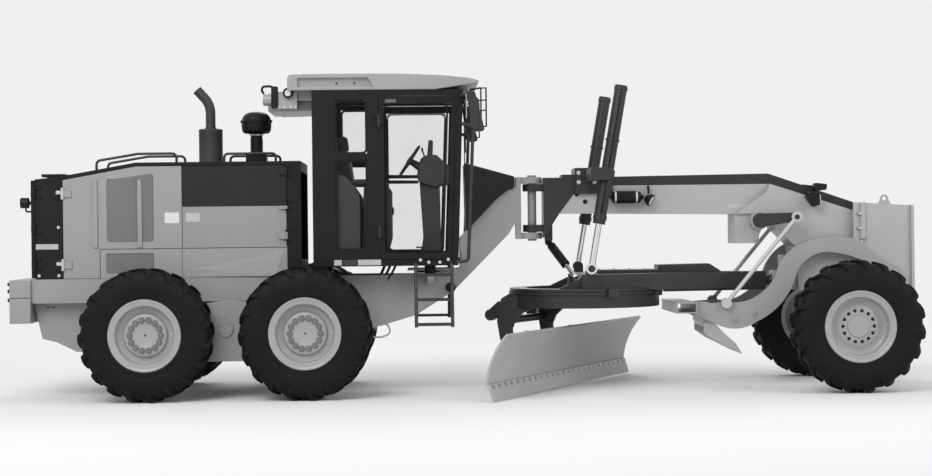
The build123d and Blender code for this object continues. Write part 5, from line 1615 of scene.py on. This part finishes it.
# ---- cab
@dataclass
class Cab:
    """Plates, bolts, gaskets, mirrors, wiper and roof lamps outside the cab."""

    half: float = 0.750
    roof_inset: float = 0.0225

    DOOR_OPENING = ((1.546, 1.415), (2.128, 1.415), (2.187, 2.890), (1.546, 2.890))
    # rear, lower, front and upper edge, and whether it is a pale plate
    SILL_PLATES = ((1.039, 1.296, 1.115, 1.351, True), (1.125, 1.296, 1.261, 1.351, False),
                   (1.275, 1.296, 1.503, 1.351, True))
    SILL_BOLTS = ((1.893, 1.342), (1.975, 1.319), (2.085, 1.318), (2.168, 1.345))
    ROOF_HOLES = ((1.082, 3.098), (1.261, 3.098))

    def build(self) -> None:
        """Dresses both sides, the front and the roof."""
        for side in Side:
            self._side(side)
            self._mirror(side)
        self._wiper()
        self._roof()

    def _side(self, side: Side) -> None:
        """Blank plates, bolts, hinge caps and gaskets of one side.

        Args:
            side: which side it is on.
        """
        face = side * self.half
        for index, (x0, z0, x1, z1, pale) in enumerate(self.SILL_PLATES):
            thin_plate(f"sill_plate_{index}_{side.label}", oblong(x0, z0, x1, z1, 0.006), face,
                       REAR, Finishes.DULL_PLATE if pale else Finishes.PLASTIC)
        seat(fasten(f"sill_bolts_{side.label}", side_spots(self.SILL_BOLTS, face), 0.011, 0.006,
                    Finishes.ZINC), REAR)
        # Thin dark discs: painted shade standing for holes in the roof's side.
        seat(fasten(f"roof_holes_{side.label}",
                    side_spots(self.ROOF_HOLES, side * (self.half - self.roof_inset)),
                    0.011, 0.001, Finishes.GASKET, 20), REAR)
        thin_plate(f"door_plate_{side.label}", oblong(1.560, 2.902, 1.668, 2.935, 0.004), face,
                   f"cab_door_{side.label}", Finishes.DARK_PLATE)
        posts = Shape()
        pin = side * 0.766
        for z in (2.720, 1.620):
            posts.rod(at(1.494, pin, z - 0.058), at(1.494, pin, z + 0.058), 0.0145, 20)
        seat(posts.build(f"cab_hinge_caps_{side.label}", Finishes.CHARCOAL), REAR)
        rim = gasket_ring(self.DOOR_OPENING, 0.02, (0.05, 0.05), face - side * 0.018,
                          face - side * 0.026)
        seat(rim.build(f"door_gasket_{side.label}", Finishes.GASKET, 0.003), f"cab_door_{side.label}")
        for name, z0, z1 in (("lower", 1.447, 2.335), ("upper", 2.400, 2.930)):
            ring = gasket_ring(((1.060, z0), (1.377, z0), (1.377, z1), (1.060, z1)), 0.018, (0.04, 0.035),
                               face - side * 0.012, face - side * 0.031)
            seat(ring.build(f"window_gasket_{name}_{side.label}", Finishes.GASKET, 0.002), REAR)

    def _mirror(self, side: Side) -> None:
        """Bracket cage, head and glass of a mirror.

        Args:
            side: which side it is on.
        """
        y = side.value
        cage = Shape()
        for x in (2.500, 2.550):
            cage.tube([at(x, y * 1.01, 3.020), at(x, y * 1.01, 2.640)], 0.0075)
        for z in (3.018, 2.900, 2.800, 2.642):
            cage.tube([at(2.395, y * 1.00, z - 0.012), at(2.550, y * 1.01, z)], 0.0065)
        cage.tube([at(2.310, y * 0.76, 2.955), at(2.390, y * 0.93, 2.990), at(2.420, y * 1.0, 3.005),
                   at(2.500, y * 1.01, 3.018)], 0.009, 0.04)
        seat(cage.build(f"mirror_cage_{side.label}", Finishes.BLACK), REAR)
        head = profile([(2.360, 2.985), (2.440, 2.985), (2.535, 2.600), (2.440, 2.590),
                        (2.400, 2.700)], 0.03, 6)
        shell = Shape().slab(head, y * 0.945, y * 1.075)
        seat(shell.build(f"mirror_head_{side.label}", Finishes.CHARCOAL, 0.012, 3), REAR)
        glass = Shape().box(at(2.352, y * 0.955, 2.720), at(2.358, y * 1.065, 2.960))
        seat(glass.build(f"mirror_glass_{side.label}", Finishes.CHROME, 0.002), REAR)

    def _wiper(self) -> None:
        """Front wiper on the windscreen, with its motor cover above."""
        arm = Shape().tube([at(2.345, -0.12, 2.955), at(2.372, -0.14, 2.900), at(2.362, -0.28, 2.420)], 0.007)
        arm.box(at(2.347, -0.30, 2.16), at(2.357, -0.275, 2.76))
        arm.rod(at(2.330, -0.12, 2.955), at(2.362, -0.12, 2.955), 0.022, 20)
        seat(arm.build("front_wiper", Finishes.BLACK), REAR)
        cover = Shape().slab(profile([(2.325, 2.945), (2.40, 2.965), (2.40, 3.015), (2.325, 3.025)], 0.01),
                             -0.34, 0.34)
        seat(cover.build("wiper_cover", Finishes.BLACK, 0.004), REAR)

    def _roof(self) -> None:
        """Lamps, brackets, guards and bolts behind the roof."""
        for side in Side:
            y = side * 0.600
            lens = Shape().lathe(at(0.350, y, 2.950), (-1, 0, 0), [(0.0, 0.0), (0.0, 0.050), (0.006, 0.046),
                                                                   (0.010, 0.026), (0.011, 0.0)], 32)
            seat(lens.build(f"roof_lamp_lens_{side.label}", Finishes.LENS), REAR)
            place, aim = at(0.610, side * 0.655, 3.015), (-0.35, side.value, -0.15)
            lamp = Shape().lathe(place, aim, [(-0.02, 0.0), (-0.02, 0.040), (0.035, 0.052), (0.042, 0.052),
                                              (0.042, 0.045), (0.036, 0.0)], 32)
            seat(lamp.build(f"roof_side_lamp_{side.label}", Finishes.BLACK), REAR)
            pane = Shape().lathe(place, aim, [(0.030, 0.0), (0.0385, 0.044), (0.042, 0.02), (0.043, 0.0)], 32)
            seat(pane.build(f"roof_side_lens_{side.label}", Finishes.LENS), REAR)
            bracket = Shape().slab(oblong(0.430, 2.860, 0.500, 3.080, 0.02), side * 0.652,
                                   side * 0.662)
            seat(bracket.build(f"roof_bracket_{side.label}", Finishes.BLACK, 0.002), REAR)
            loop = Shape().tube([at(0.355, y, 3.012), at(0.330, y, 3.045), at(0.345, y, 3.085),
                                 at(0.440, y, 3.085), at(0.455, y, 3.03)], 0.012, 0.03)
            seat(loop.build(f"roof_lamp_guard_{side.label}", Finishes.BLACK), REAR)
            spots = side_spots([(x, 2.875) for x in (0.50, 0.56, 0.62, 0.67)], side * 0.650)
            seat(fasten(f"roof_box_bolts_{side.label}", spots, 0.007, 0.005, Finishes.ZINC), REAR)


# ---- inside the cab
@dataclass
class Cushion:
    """A crowned cushion with sewn channels, drawn on its own plane and then placed."""

    width: float
    length: float
    thickness: float
    crown: float = 0.016
    channels: tuple[float, ...] = ()
    groove: float = 0.007

    def shape(self, place: Matrix) -> Shape:
        """Makes the closed form.

        Args:
            place: turns and moves the cushion from its own axes (width on Y, length on X, face on Z).

        Returns:
            The shape, ready to be built.
        """
        shape = Shape()
        bmesh.ops.create_cube(shape.mesh, size=2.0)
        bmesh.ops.subdivide_edges(shape.mesh, edges=list(shape.mesh.edges), cuts=23, use_grid_fill=True)
        for vert in shape.mesh.verts:
            vert.co = self._puff(vert.co)
        return shape.turn(place)

    def _puff(self, point: Vector) -> Vector:
        """Moves one point of a unit cube onto the cushion.

        Args:
            point: a point of the cube, each axis from -1 to 1.

        Returns:
            Its place on the cushion.
        """
        u, v, w = point
        edge = max(abs(u), abs(v))
        round_u = math.copysign(abs(u) ** 0.9, u) if u else 0.0
        round_v = math.copysign(abs(v) ** 0.9, v) if v else 0.0
        rise = (1 - abs(u) ** 5) * (1 - abs(v) ** 5)
        side = 0.5 if abs(w) < 0.999 else 0.0
        thick = self.thickness / 2 * (0.55 + 0.45 * min(1.0, (1 - edge) * 9 + side))
        bulge = 0.018 * (1 - abs(w) ** 2) * 0.3
        x = round_u * (self.length / 2) * (1 - 0.02 * (1 - v * v))
        y = round_v * (self.width / 2) * (1 - 0.02 * (1 - u * u))
        x += math.copysign(bulge, u) * (abs(u) > 0.999)
        y += math.copysign(bulge, v) * (abs(v) > 0.999)
        z = w * thick + (self.crown * rise if w > 0 else -self.crown * 0.3 * rise)
        if w > 0:
            for place in self.channels:
                z -= self.groove * math.exp(-((u - place) / 0.035) ** 2) * rise ** 0.3
            z -= self.groove * 0.8 * math.exp(-((abs(v) - 0.72) / 0.03) ** 2) * rise ** 0.3
        return Vector((x, y, z))


@dataclass
class CabInterior:
    """Seat, armrests, side trims, console, levers and steering wheel."""

    floor: float = 1.385

    def build(self) -> None:
        """Makes what shows through the glass."""
        self._seat()
        self._trims()
        self._console()

    def _seat(self) -> None:
        """Suspension, cushions, headrest and armrests."""
        top = self.floor + 0.36
        base = Shape()
        for fold in range(7):
            z = self.floor + 0.04 + fold * 0.042
            base.slab(oblong(1.20, -0.18, 1.46, 0.18, 0.04), z, z + 0.028, Lay.XY)
        base.slab(oblong(1.22, -0.16, 1.44, 0.16, 0.03), self.floor, top, Lay.XY)
        base.slab(oblong(1.16, -0.22, 1.56, 0.22, 0.05), top, self.floor + 0.40, Lay.XY)
        seat(base.build("seat_suspension", Finishes.PLASTIC, 0.004), REAR, "operator_seat")
        upright = Matrix.Rotation(math.radians(-97), 4, "Y") @ Matrix.Rotation(math.pi, 4, "X")
        self._pad("seat_cushion", Cushion(0.50, 0.50, 0.105, 0.018, (-0.35, 0.0, 0.35)),
                  Matrix.Translation(at(1.370, 0, 1.838)))
        self._pad("seat_back", Cushion(0.46, 0.60, 0.10, 0.020, (-0.5, -0.1, 0.3)),
                  Matrix.Translation(at(1.150, 0, 2.150)) @ upright)
        self._pad("seat_headrest", Cushion(0.26, 0.15, 0.09, 0.014),
                  Matrix.Translation(at(1.105, 0, 2.525)) @ upright)
        for side in Side:
            self._pad(f"armrest_{side.label}", Cushion(0.085, 0.36, 0.055, 0.008),
                      Matrix.Translation(at(1.380, side * 0.30, 2.125)), Finishes.PLASTIC)

    def _pad(self, name: str, cushion: Cushion, place: Matrix, finish: Finish = Finishes.CLOTH) -> None:
        """Builds one padded piece of the seat.

        Args:
            name: the piece's name.
            cushion: its form.
            place: where it goes from its own axes.
            finish: its cover.
        """
        piece = cushion.shape(place).build(name, finish)
        seat(piece, REAR, "operator_seat")

    def _trims(self) -> None:
        """Side consoles beside the seat, the cabinets behind it, its back shell and the armrests' bars."""
        trims = Shape()
        side_box = [(1.300, 1.400), (1.560, 1.400), (1.606, 1.560), (1.606, 2.060), (1.545, 2.085),
                    (1.330, 2.085)]
        trims.slab(profile(side_box, 0.03), -0.400, -0.265)
        cabinet = [(0.905, 1.390), (1.300, 1.390), (1.300, 1.980), (1.160, 2.180), (0.905, 2.260)]
        trims.slab(profile(cabinet, 0.04), -0.670, -0.300)
        seat(trims.mirrored().build("cab_side_trims", Finishes.PLASTIC, 0.008, 3), REAR)
        shell = Shape().slab(profile([(1.060, 1.980), (1.100, 1.980), (1.075, 2.420), (1.050, 2.560),
                                      (1.010, 2.560), (1.000, 2.400)], 0.02), -0.22, 0.22)
        seat(shell.build("seat_back_shell", Finishes.PLASTIC, 0.006), REAR)
        bars = Shape()
        for z in (2.192, 2.137):
            bars.tube([at(1.560, -0.30, z), at(1.880, -0.22, z - 0.003)], 0.010)
        seat(bars.mirrored().build("armrest_bars", Finishes.BLACK), REAR)

    def _console(self) -> None:
        """Pedestal, head, lever pods, levers, steering wheel and pedals."""
        crown = [(1.865, 2.200), (1.905, 2.371), (1.960, 2.405), (2.068, 2.408), (2.150, 2.330),
                 (2.205, 2.290), (2.200, 2.105), (2.112, 2.090), (2.060, 2.075), (1.893, 2.123)]
        head = Shape().slab(profile(crown, 0.02), -0.175, 0.175)
        seat(head.build("console_head", Finishes.PLASTIC, 0.012, 3), REAR, "control_console")
        column = [(1.893, 2.123), (1.925, 1.568), (1.900, 1.388), (2.140, 1.388), (2.106, 1.557),
                  (2.100, 2.095)]
        pedestal = Shape().slab(profile(column, 0.015), -0.115, 0.115)
        seat(pedestal.build("console_pedestal", Finishes.PLASTIC, 0.010, 3), REAR, "control_console")
        levers = Shape()
        for side in (1, -1):
            levers.slab(profile([(1.974, 2.405), (2.030, 2.405), (2.036, 2.545), (2.020, 2.560),
                                 (1.988, 2.556)], 0.010), side * 0.085, side * 0.150)
            for index in range(4):
                y = side * (0.075 + index * 0.03)
                levers.rod(at(1.945, y, 2.400), at(1.925, y, 2.462), 0.005, 10)
                levers.ball(at(1.924, y, 2.468), 0.012, 12)
        seat(levers.build("console_levers", Finishes.PLASTIC, 0.004), REAR)
        centre = at(1.794, 0, 2.354)
        axis = Vector((-0.828, 0, 0.560))
        wheel = Shape().hoop(centre, axis, 0.176, 0.0135, 48)
        wheel.lathe(centre, axis, [(-0.020, 0.0), (-0.020, 0.050), (0.010, 0.056), (0.022, 0.040),
                                   (0.026, 0.0)], 32)
        across = Vector((0.560, 0, 0.828))
        for way in (Vector((0, 1, 0)), Vector((0, -1, 0)), -across):
            wheel.sweep([centre + way * 0.03 - axis * 0.008, centre + way * 0.172], [0.016, 0.010], 12)
        wheel.rod(centre - axis * 0.012, at(1.905, 0, 2.285), 0.030, 24, 0.045)
        seat(wheel.build("steering_wheel", Finishes.PLASTIC), REAR, "control_console")
        pedals = Shape()
        for y in (-0.19, 0.19):
            pedals.box(at(1.850, y - 0.035, 1.455), at(1.925, y + 0.035, 1.468))
            pedals.rod(at(1.900, y, 1.460), at(1.960, y, 1.395), 0.008, 10)
        seat(pedals.build("cab_pedals", Finishes.PLASTIC, 0.003), REAR)


# ---- steps, neck and steel lines
@dataclass
class Access:
    """Strips and coupler of the neck, and the steel lines under the cab."""

    def build(self) -> None:
        """Dresses the neck and the underside."""
        for side in Side:
            strip = Shape()
            for x, z, length in ((1.760, 1.238, 0.49), (1.905, 0.940, 0.13)):
                strip.box(at(x, side * 0.330, z - 0.008), at(x + length, side * 0.352, z + 0.008))
            seat(strip.build(f"neck_strips_{side.label}", Finishes.LIGHT, 0.002), REAR)
            coupler = Shape().lathe(at(2.197, side * 0.330, 1.054), (0, side.value, 0),
                                    [(0.0, 0.0), (0.0, 0.050), (0.020, 0.050), (0.020, 0.036), (0.050, 0.034),
                                     (0.050, 0.0)], 32)
            seat(coupler.build(f"neck_coupler_{side.label}", Finishes.BLACK), REAR)
        lines = Shape()
        for x0, x1, y in ((1.509, 1.375, 0.385), (1.565, 1.412, 0.395), (1.621, 1.450, 0.405)):
            lines.tube([at(x0 + 0.02, y, 1.290), at(x0, y, 1.240), at(x1, y - 0.02, 0.950),
                        at(x1 - 0.20, y - 0.03, 0.850)], 0.011, 0.06)
        lines.mirrored()
        seat(lines.build("frame_steel_lines", Finishes.BLACK), REAR)
        loop = Shape().tube([at(1.420, -0.34, 0.640), at(1.470, -0.36, 0.700), at(1.560, -0.36, 0.690),
                             at(1.585, -0.36, 0.600), at(1.500, -0.36, 0.560), at(1.410, -0.34, 0.560)],
                            0.009, 0.04)
        seat(loop.build("neck_drain_line", Finishes.LIGHT), REAR)


# ---- beam, casting and cylinders
@dataclass
class FrontFrame:
    """Accumulators, lamps and fasteners on the front frame, and fittings of the lift barrels."""

    beam_half: float = 0.160
    saddle_half: float = 0.200
    lift_y: float = 0.770

    SADDLE_BOLTS = ((3.520, 2.205), (3.600, 2.205), (3.680, 2.205), (3.520, 2.110), (3.680, 2.110))
    BEAM_HOLES = ((3.499, 1.990), (3.587, 1.910))
    NOSE_BOLTS = ((5.216, 1.700), (5.216, 1.640), (5.560, 1.700), (5.560, 1.640))

    def build(self) -> None:
        """Dresses the front frame and the lift cylinders."""
        for side in Side:
            self._accumulator(side)
            self._lamps(side)
            self._bolts(side)
            self._barrel(side)
            self._nose(side)

    def _accumulator(self, side: Side) -> None:
        """A round-ended accumulator with pale clamps on the beam's side.

        Args:
            side: which side it is on.
        """
        y = side * 0.226
        shape = Shape().lathe(at(3.850, y, 1.950), (1, 0, 0), [
            (-0.014, 0.0), (-0.014, 0.020), (0.0, 0.022), (0.004, 0.040), (0.020, 0.057), (0.040, 0.063),
            (0.268, 0.063), (0.288, 0.057), (0.304, 0.040), (0.310, 0.024), (0.330, 0.020), (0.330, 0.0)], 40)
        seat(shape.build(f"accumulator_{side.label}", Finishes.BLACK), FRONT, "beam_fittings")
        clamps = Shape()
        for x in (3.889, 4.105):
            clamps.lathe(at(x, y, 1.950), (1, 0, 0), [(-0.009, 0.0625), (-0.009, 0.0665), (0.009, 0.0665),
                                                     (0.009, 0.0625)], 40)
            clamps.box(at(x - 0.012, side * 0.159, 1.925), at(x + 0.012, side * 0.175, 1.975))
        seat(clamps.build(f"accumulator_clamps_{side.label}", Finishes.ZINC), FRONT,
             "beam_fittings")

    def _lamps(self, side: Side) -> None:
        """Work lamp beside the accumulator and the lamp cluster on the nose.

        Args:
            side: which side it is on.
        """
        y = side * 0.240
        place, aim = at(4.235, y, 1.925), (0.75, side * 0.35, -0.45)
        work = Shape().lathe(place, aim, [(-0.045, 0.0), (-0.045, 0.026), (0.0, 0.060), (0.030, 0.064),
                                          (0.030, 0.056), (0.024, 0.0)], 36)
        work.tube([at(4.236, side * 0.165, 2.060), at(4.232, side * 0.200, 2.050),
                   at(4.230, y, 1.985)], 0.012, 0.02)
        seat(work.build(f"work_lamp_{side.label}", Finishes.BLACK), FRONT, "beam_fittings")
        lens = Shape().lathe(place, aim, [(0.018, 0.0), (0.028, 0.055), (0.034, 0.030), (0.036, 0.0)], 36)
        seat(lens.build(f"work_lamp_lens_{side.label}", Finishes.LENS), FRONT)
        y = side * 0.300
        nose = Shape().slab(profile([(5.830, 1.925), (5.850, 1.985), (5.960, 1.965), (5.965, 1.850),
                                     (5.900, 1.830)], 0.02), y - side * 0.070, y + side * 0.070)
        nose.slab(profile([(5.900, 2.035), (5.912, 2.075), (6.040, 2.060), (6.030, 2.000),
                           (5.920, 1.990)], 0.015), y - side * 0.040, y + side * 0.060)
        nose.tube([at(5.800, side * 0.165, 1.900), at(5.830, side * 0.23, 1.930),
                   at(5.880, y, 1.930)], 0.014, 0.02)
        nose.tube([at(5.900, side * 0.24, 1.930), at(5.915, side * 0.25, 2.020)], 0.010)
        seat(nose.build(f"nose_lamps_{side.label}", Finishes.BLACK, 0.008, 3), FRONT,
             "beam_fittings")
        glass = Shape().box(at(5.958, y * 0.80, 1.862), at(5.972, y * 1.20, 1.952))
        glass.box(at(6.030, y * 0.90, 2.012), at(6.042, y * 1.16, 2.054))
        seat(glass.build(f"nose_lenses_{side.label}", Finishes.LENS, 0.005), FRONT)

    def _bolts(self, side: Side) -> None:
        """Fasteners of the saddle, thin dark discs of painted shade standing for the beam's ports, and its
        blank plate.

        Args:
            side: which side it is on.
        """
        spots = side_spots(self.SADDLE_BOLTS, side * self.saddle_half)
        seat(fasten(f"saddle_bolts_{side.label}", spots, 0.015, 0.011, Finishes.ZINC), FRONT)
        # Thin dark discs: painted shade standing for the ports' holes.
        spots = side_spots(self.BEAM_HOLES, side * self.beam_half)
        seat(fasten(f"beam_ports_{side.label}", spots, 0.017, 0.002, Finishes.GASKET, 24), FRONT)
        thin_plate(f"beam_plate_{side.label}", oblong(5.060, 1.830, 5.250, 1.868, 0.004),
                   side * self.beam_half, FRONT, Finishes.DULL_PLATE)

    def _barrel(self, side: Side) -> None:
        """A ring at each end of a lift barrel, and a steel line along it.

        Args:
            side: which side it is on.
        """
        node = frame["nodes"]["lift_barrels"]
        points = [node.matrix_world @ vert.co for vert in node.data.vertices]
        mine = [point for point in points if point.y * side.value > 0.5]
        top, foot = max(point.z for point in mine), min(point.z for point in mine)
        high_end = [point for point in mine if point.z > top - 0.10]
        low_end = [point for point in mine if point.z < foot + 0.10]
        upper = sum(high_end, Vector()) / len(high_end)
        lower = sum(low_end, Vector()) / len(low_end)
        upper.y = lower.y = side * self.lift_y
        along = (lower - upper).normalized()
        length = (lower - upper).length
        shape = Shape()
        for start, stop, radius in ((0.00, 0.030, 0.068), (length - 0.055, length - 0.010, 0.069)):
            shape.lathe(upper, along, [(start, 0.058), (start, radius), (stop, radius), (stop, 0.058)], 40)
        seat(shape.build(f"lift_barrel_rings_{side.label}", Finishes.CHARCOAL, 0.002), "lift_barrels")
        run = [upper + along * down + side.out * away for down, away in (
            (0.06, 0.060), (0.075, 0.082), (length - 0.10, 0.082), (length - 0.085, 0.060))]
        line = Shape().tube(run, 0.008, 0.02)
        seat(line.build(f"lift_barrel_line_{side.label}", Finishes.BLACK), "lift_barrels")

    def _nose(self, side: Side) -> None:
        """Rings of the push block's columns, and bolts on the nose.

        Args:
            side: which side it is on.
        """
        rings = Shape()
        for z in (1.753, 1.602, 1.470):
            rings.lathe(at(6.380, side * 0.330, z), (0, 0, 1),
                        [(-0.012, 0.020), (-0.012, 0.036), (0.012, 0.036), (0.012, 0.020)], 32)
        seat(rings.build(f"push_column_rings_{side.label}", Finishes.STEEL, 0.002), FRONT)
        spots = side_spots(self.NOSE_BOLTS, side * self.beam_half)
        seat(fasten(f"nose_bolts_{side.label}", spots, 0.012, 0.008, Finishes.ZINC), FRONT)


# ---- blade and scarifier
@dataclass
class BladeDetail:
    """Bolts of the cutting edge, in the blade's own axes."""

    turn: float = -27.0
    half: float = 1.780
    pitch: float = 0.1465
    middle: float = -0.086
    height: float = 0.80
    face_foot: tuple[float, float] = (-0.177, 0.035)
    face_head: tuple[float, float] = (-0.219, 0.175)
    centre: tuple[float, float, float] = (1.2225, 0.0, 0.0)

    def build(self) -> None:
        """Sets a row of bolts along the edge."""
        axes = Matrix.Translation(self.centre) @ Matrix.Rotation(math.radians(self.turn), 4, "Z")
        foot, head = (Vector((x, 0, z)) for x, z in (self.face_foot, self.face_head))
        normal = Vector((head.z - foot.z, 0, foot.x - head.x)).normalized()
        line = foot.lerp(head, self.height)
        count = int(2 * self.half / self.pitch) + 1
        first = self.middle - self.half + (2 * self.half - (count - 1) * self.pitch) / 2
        spots = [(axes @ Vector((line.x, first + index * self.pitch, line.z)), axes.to_3x3() @ normal)
                 for index in range(count)]
        seat(fasten("edge_bolts", spots, 0.015, 0.007, Finishes.STEEL, 16), "moldboard")


@dataclass
class ScarifierDetail:
    """Pin caps of the scarifier."""

    side: Side

    def build(self) -> None:
        """Dresses one side."""
        y = self.side.value
        caps = Shape()
        for x, z, radius in ((5.073, 0.702, 0.032), (5.274, 0.757, 0.028)):
            caps.lathe(at(x, y * 0.400, z), (0, y, 0), [(-0.004, 0.0), (-0.004, radius), (0.010, radius),
                                                       (0.013, radius * 0.7), (0.013, 0.0)], 32)
        seat(caps.build(f"scarifier_caps_{self.side.label}", Finishes.BODY), "scarifier")


@dataclass
class DrawbarDetail:
    """Bolts of the drawbar's cover plate."""

    COVER = ((3.740, 1.209), (3.900, 1.209), (4.060, 1.209), (4.220, 1.209))

    def build(self) -> None:
        """Adds the fasteners."""
        spots = [(at(x, y, z), Vector((0, 0, 1))) for x, z in self.COVER for y in (-0.10, 0.10)]
        seat(fasten("drawbar_cover_bolts", spots, 0.013, 0.009, Finishes.ZINC), "drawbar")


# ---- stage
@dataclass
class Studio:
    """Camera, floor and lights."""

    place: tuple[float, float, float] = (-0.4825, -18.261, 1.619)
    yaw: float = 0.0263
    pitch: float = -0.0037
    roll: float = -0.0115
    lens: float = 68.35
    backdrop: float = 0.87
    floor_level: float = 0.82
    fade_start: float = 3.2
    fade_length: float = 5.0

    def build(self) -> None:
        """Sets the stage up."""
        self._camera()
        self._floor()
        self._lights()
        scene = bpy.context.scene
        scene.view_settings.view_transform = "Standard"

    def _camera(self) -> None:
        """Aims the camera by its yaw, pitch and roll."""
        ahead = Vector((math.sin(self.yaw) * math.cos(self.pitch), math.cos(self.yaw) * math.cos(self.pitch),
                        math.sin(self.pitch)))
        right = Vector((math.cos(self.yaw), -math.sin(self.yaw), 0.0))
        up = right.cross(ahead)
        rolled = right * math.cos(self.roll) + up * math.sin(self.roll)
        top = up * math.cos(self.roll) - right * math.sin(self.roll)
        lens = bpy.data.cameras.new("camera")
        lens.lens = self.lens
        lens.sensor_width = 36.0
        lens.clip_end = 200.0
        camera = linked("camera", lens)
        camera.matrix_world = Matrix((
            (rolled.x, top.x, -ahead.x, self.place[0]), (rolled.y, top.y, -ahead.y, self.place[1]),
            (rolled.z, top.z, -ahead.z, self.place[2]), (0, 0, 0, 1)))
        bpy.context.scene.camera = camera

    def _floor(self) -> None:
        """A pale floor that reaches past the view."""
        shape = Shape().box((-60, -40, -0.02), (60, 60, 0.0))
        data = bpy.data.meshes.new("floor")
        shape.mesh.to_mesh(data)
        shape.mesh.free()
        floor = linked("floor", data)
        material = bpy.data.materials.new("floor_paper")
        material.use_nodes = True
        graph = Graph(material.node_tree)
        paper = material.node_tree.nodes["Principled BSDF"]
        paper.inputs["Base Color"].default_value = grey(self.floor_level)
        paper.inputs["Roughness"].default_value = 0.9
        paper.inputs["Specular IOR Level"].default_value = 0.1
        place = graph.add("ShaderNodeTexCoord", output="Object")
        x, y, _ = axes_of(graph, place)
        distance = graph.add("ShaderNodeMath", {"operation": "SQRT"}, {0: x * x * 0.25 + y * y})
        seen = graph.add("ShaderNodeLightPath", output="Is Camera Ray")
        far = ((distance - self.fade_start) / self.fade_length).clamp() * seen
        glow = graph.add("ShaderNodeEmission", sockets={"Color": grey(self.backdrop), "Strength": 1.0},
                         output="Emission")
        mixed = graph.add("ShaderNodeMixShader", sockets={0: far, 1: Wire(graph, paper.outputs[0]), 2: glow})
        graph.feed(material.node_tree.nodes["Material Output"].inputs["Surface"], mixed)
        data.materials.append(material)

    def _lights(self) -> None:
        """A pale even sky and three large soft lamps."""
        world = bpy.data.worlds.new("sky")
        bpy.context.scene.world = world
        world.use_nodes = True
        graph = Graph(world.node_tree)
        surface = world.node_tree.nodes["Background"]
        path = graph.add("ShaderNodeLightPath").socket.node
        seen = Wire(graph, path.outputs["Is Camera Ray"]).above(Wire(graph, path.outputs["Is Glossy Ray"]))
        seen = seen.above(Wire(graph, path.outputs["Is Transmission Ray"]))
        graph.feed(surface.inputs["Color"], graph.blend(seen, grey(0.62), grey(self.backdrop)))
        for name, place, aim, size, power in (
                ("key", (-6.0, -12.0, 11.0), (0.0, 0.0, 1.0), 9.0, 1500.0),
                ("fill", (11.0, -8.0, 7.0), (1.0, 0.0, 1.0), 8.0, 500.0),
                ("rim", (0.0, 12.0, 10.0), (0.0, 0.0, 1.0), 9.0, 700.0)):
            lamp = bpy.data.lights.new(name, "AREA")
            lamp.energy = power
            lamp.size = size
            holder = linked(name, lamp)
            holder.location = place
            holder.rotation_euler = (Vector(aim) - Vector(place)).to_track_quat("-Z", "Y").to_euler()


def main() -> None:
    """Builds the stage and every sub-assembly."""
    logging.basicConfig(level=logging.INFO, format="%(message)s")
    Studio().build()
    for row in ("rear", "middle", "front"):
        for side in Side:
            Wheel(row, side).build()
    Panelwork().build()
    for side in Side:
        EngineModule(side).build()
    HoodTop().build()
    Cab().build()
    CabInterior().build()
    Access().build()
    FrontFrame().build()
    BladeDetail().build()
    DrawbarDetail().build()
    for side in Side:
        ScarifierDetail(side).build()


if __name__ == "__main__":
    main()
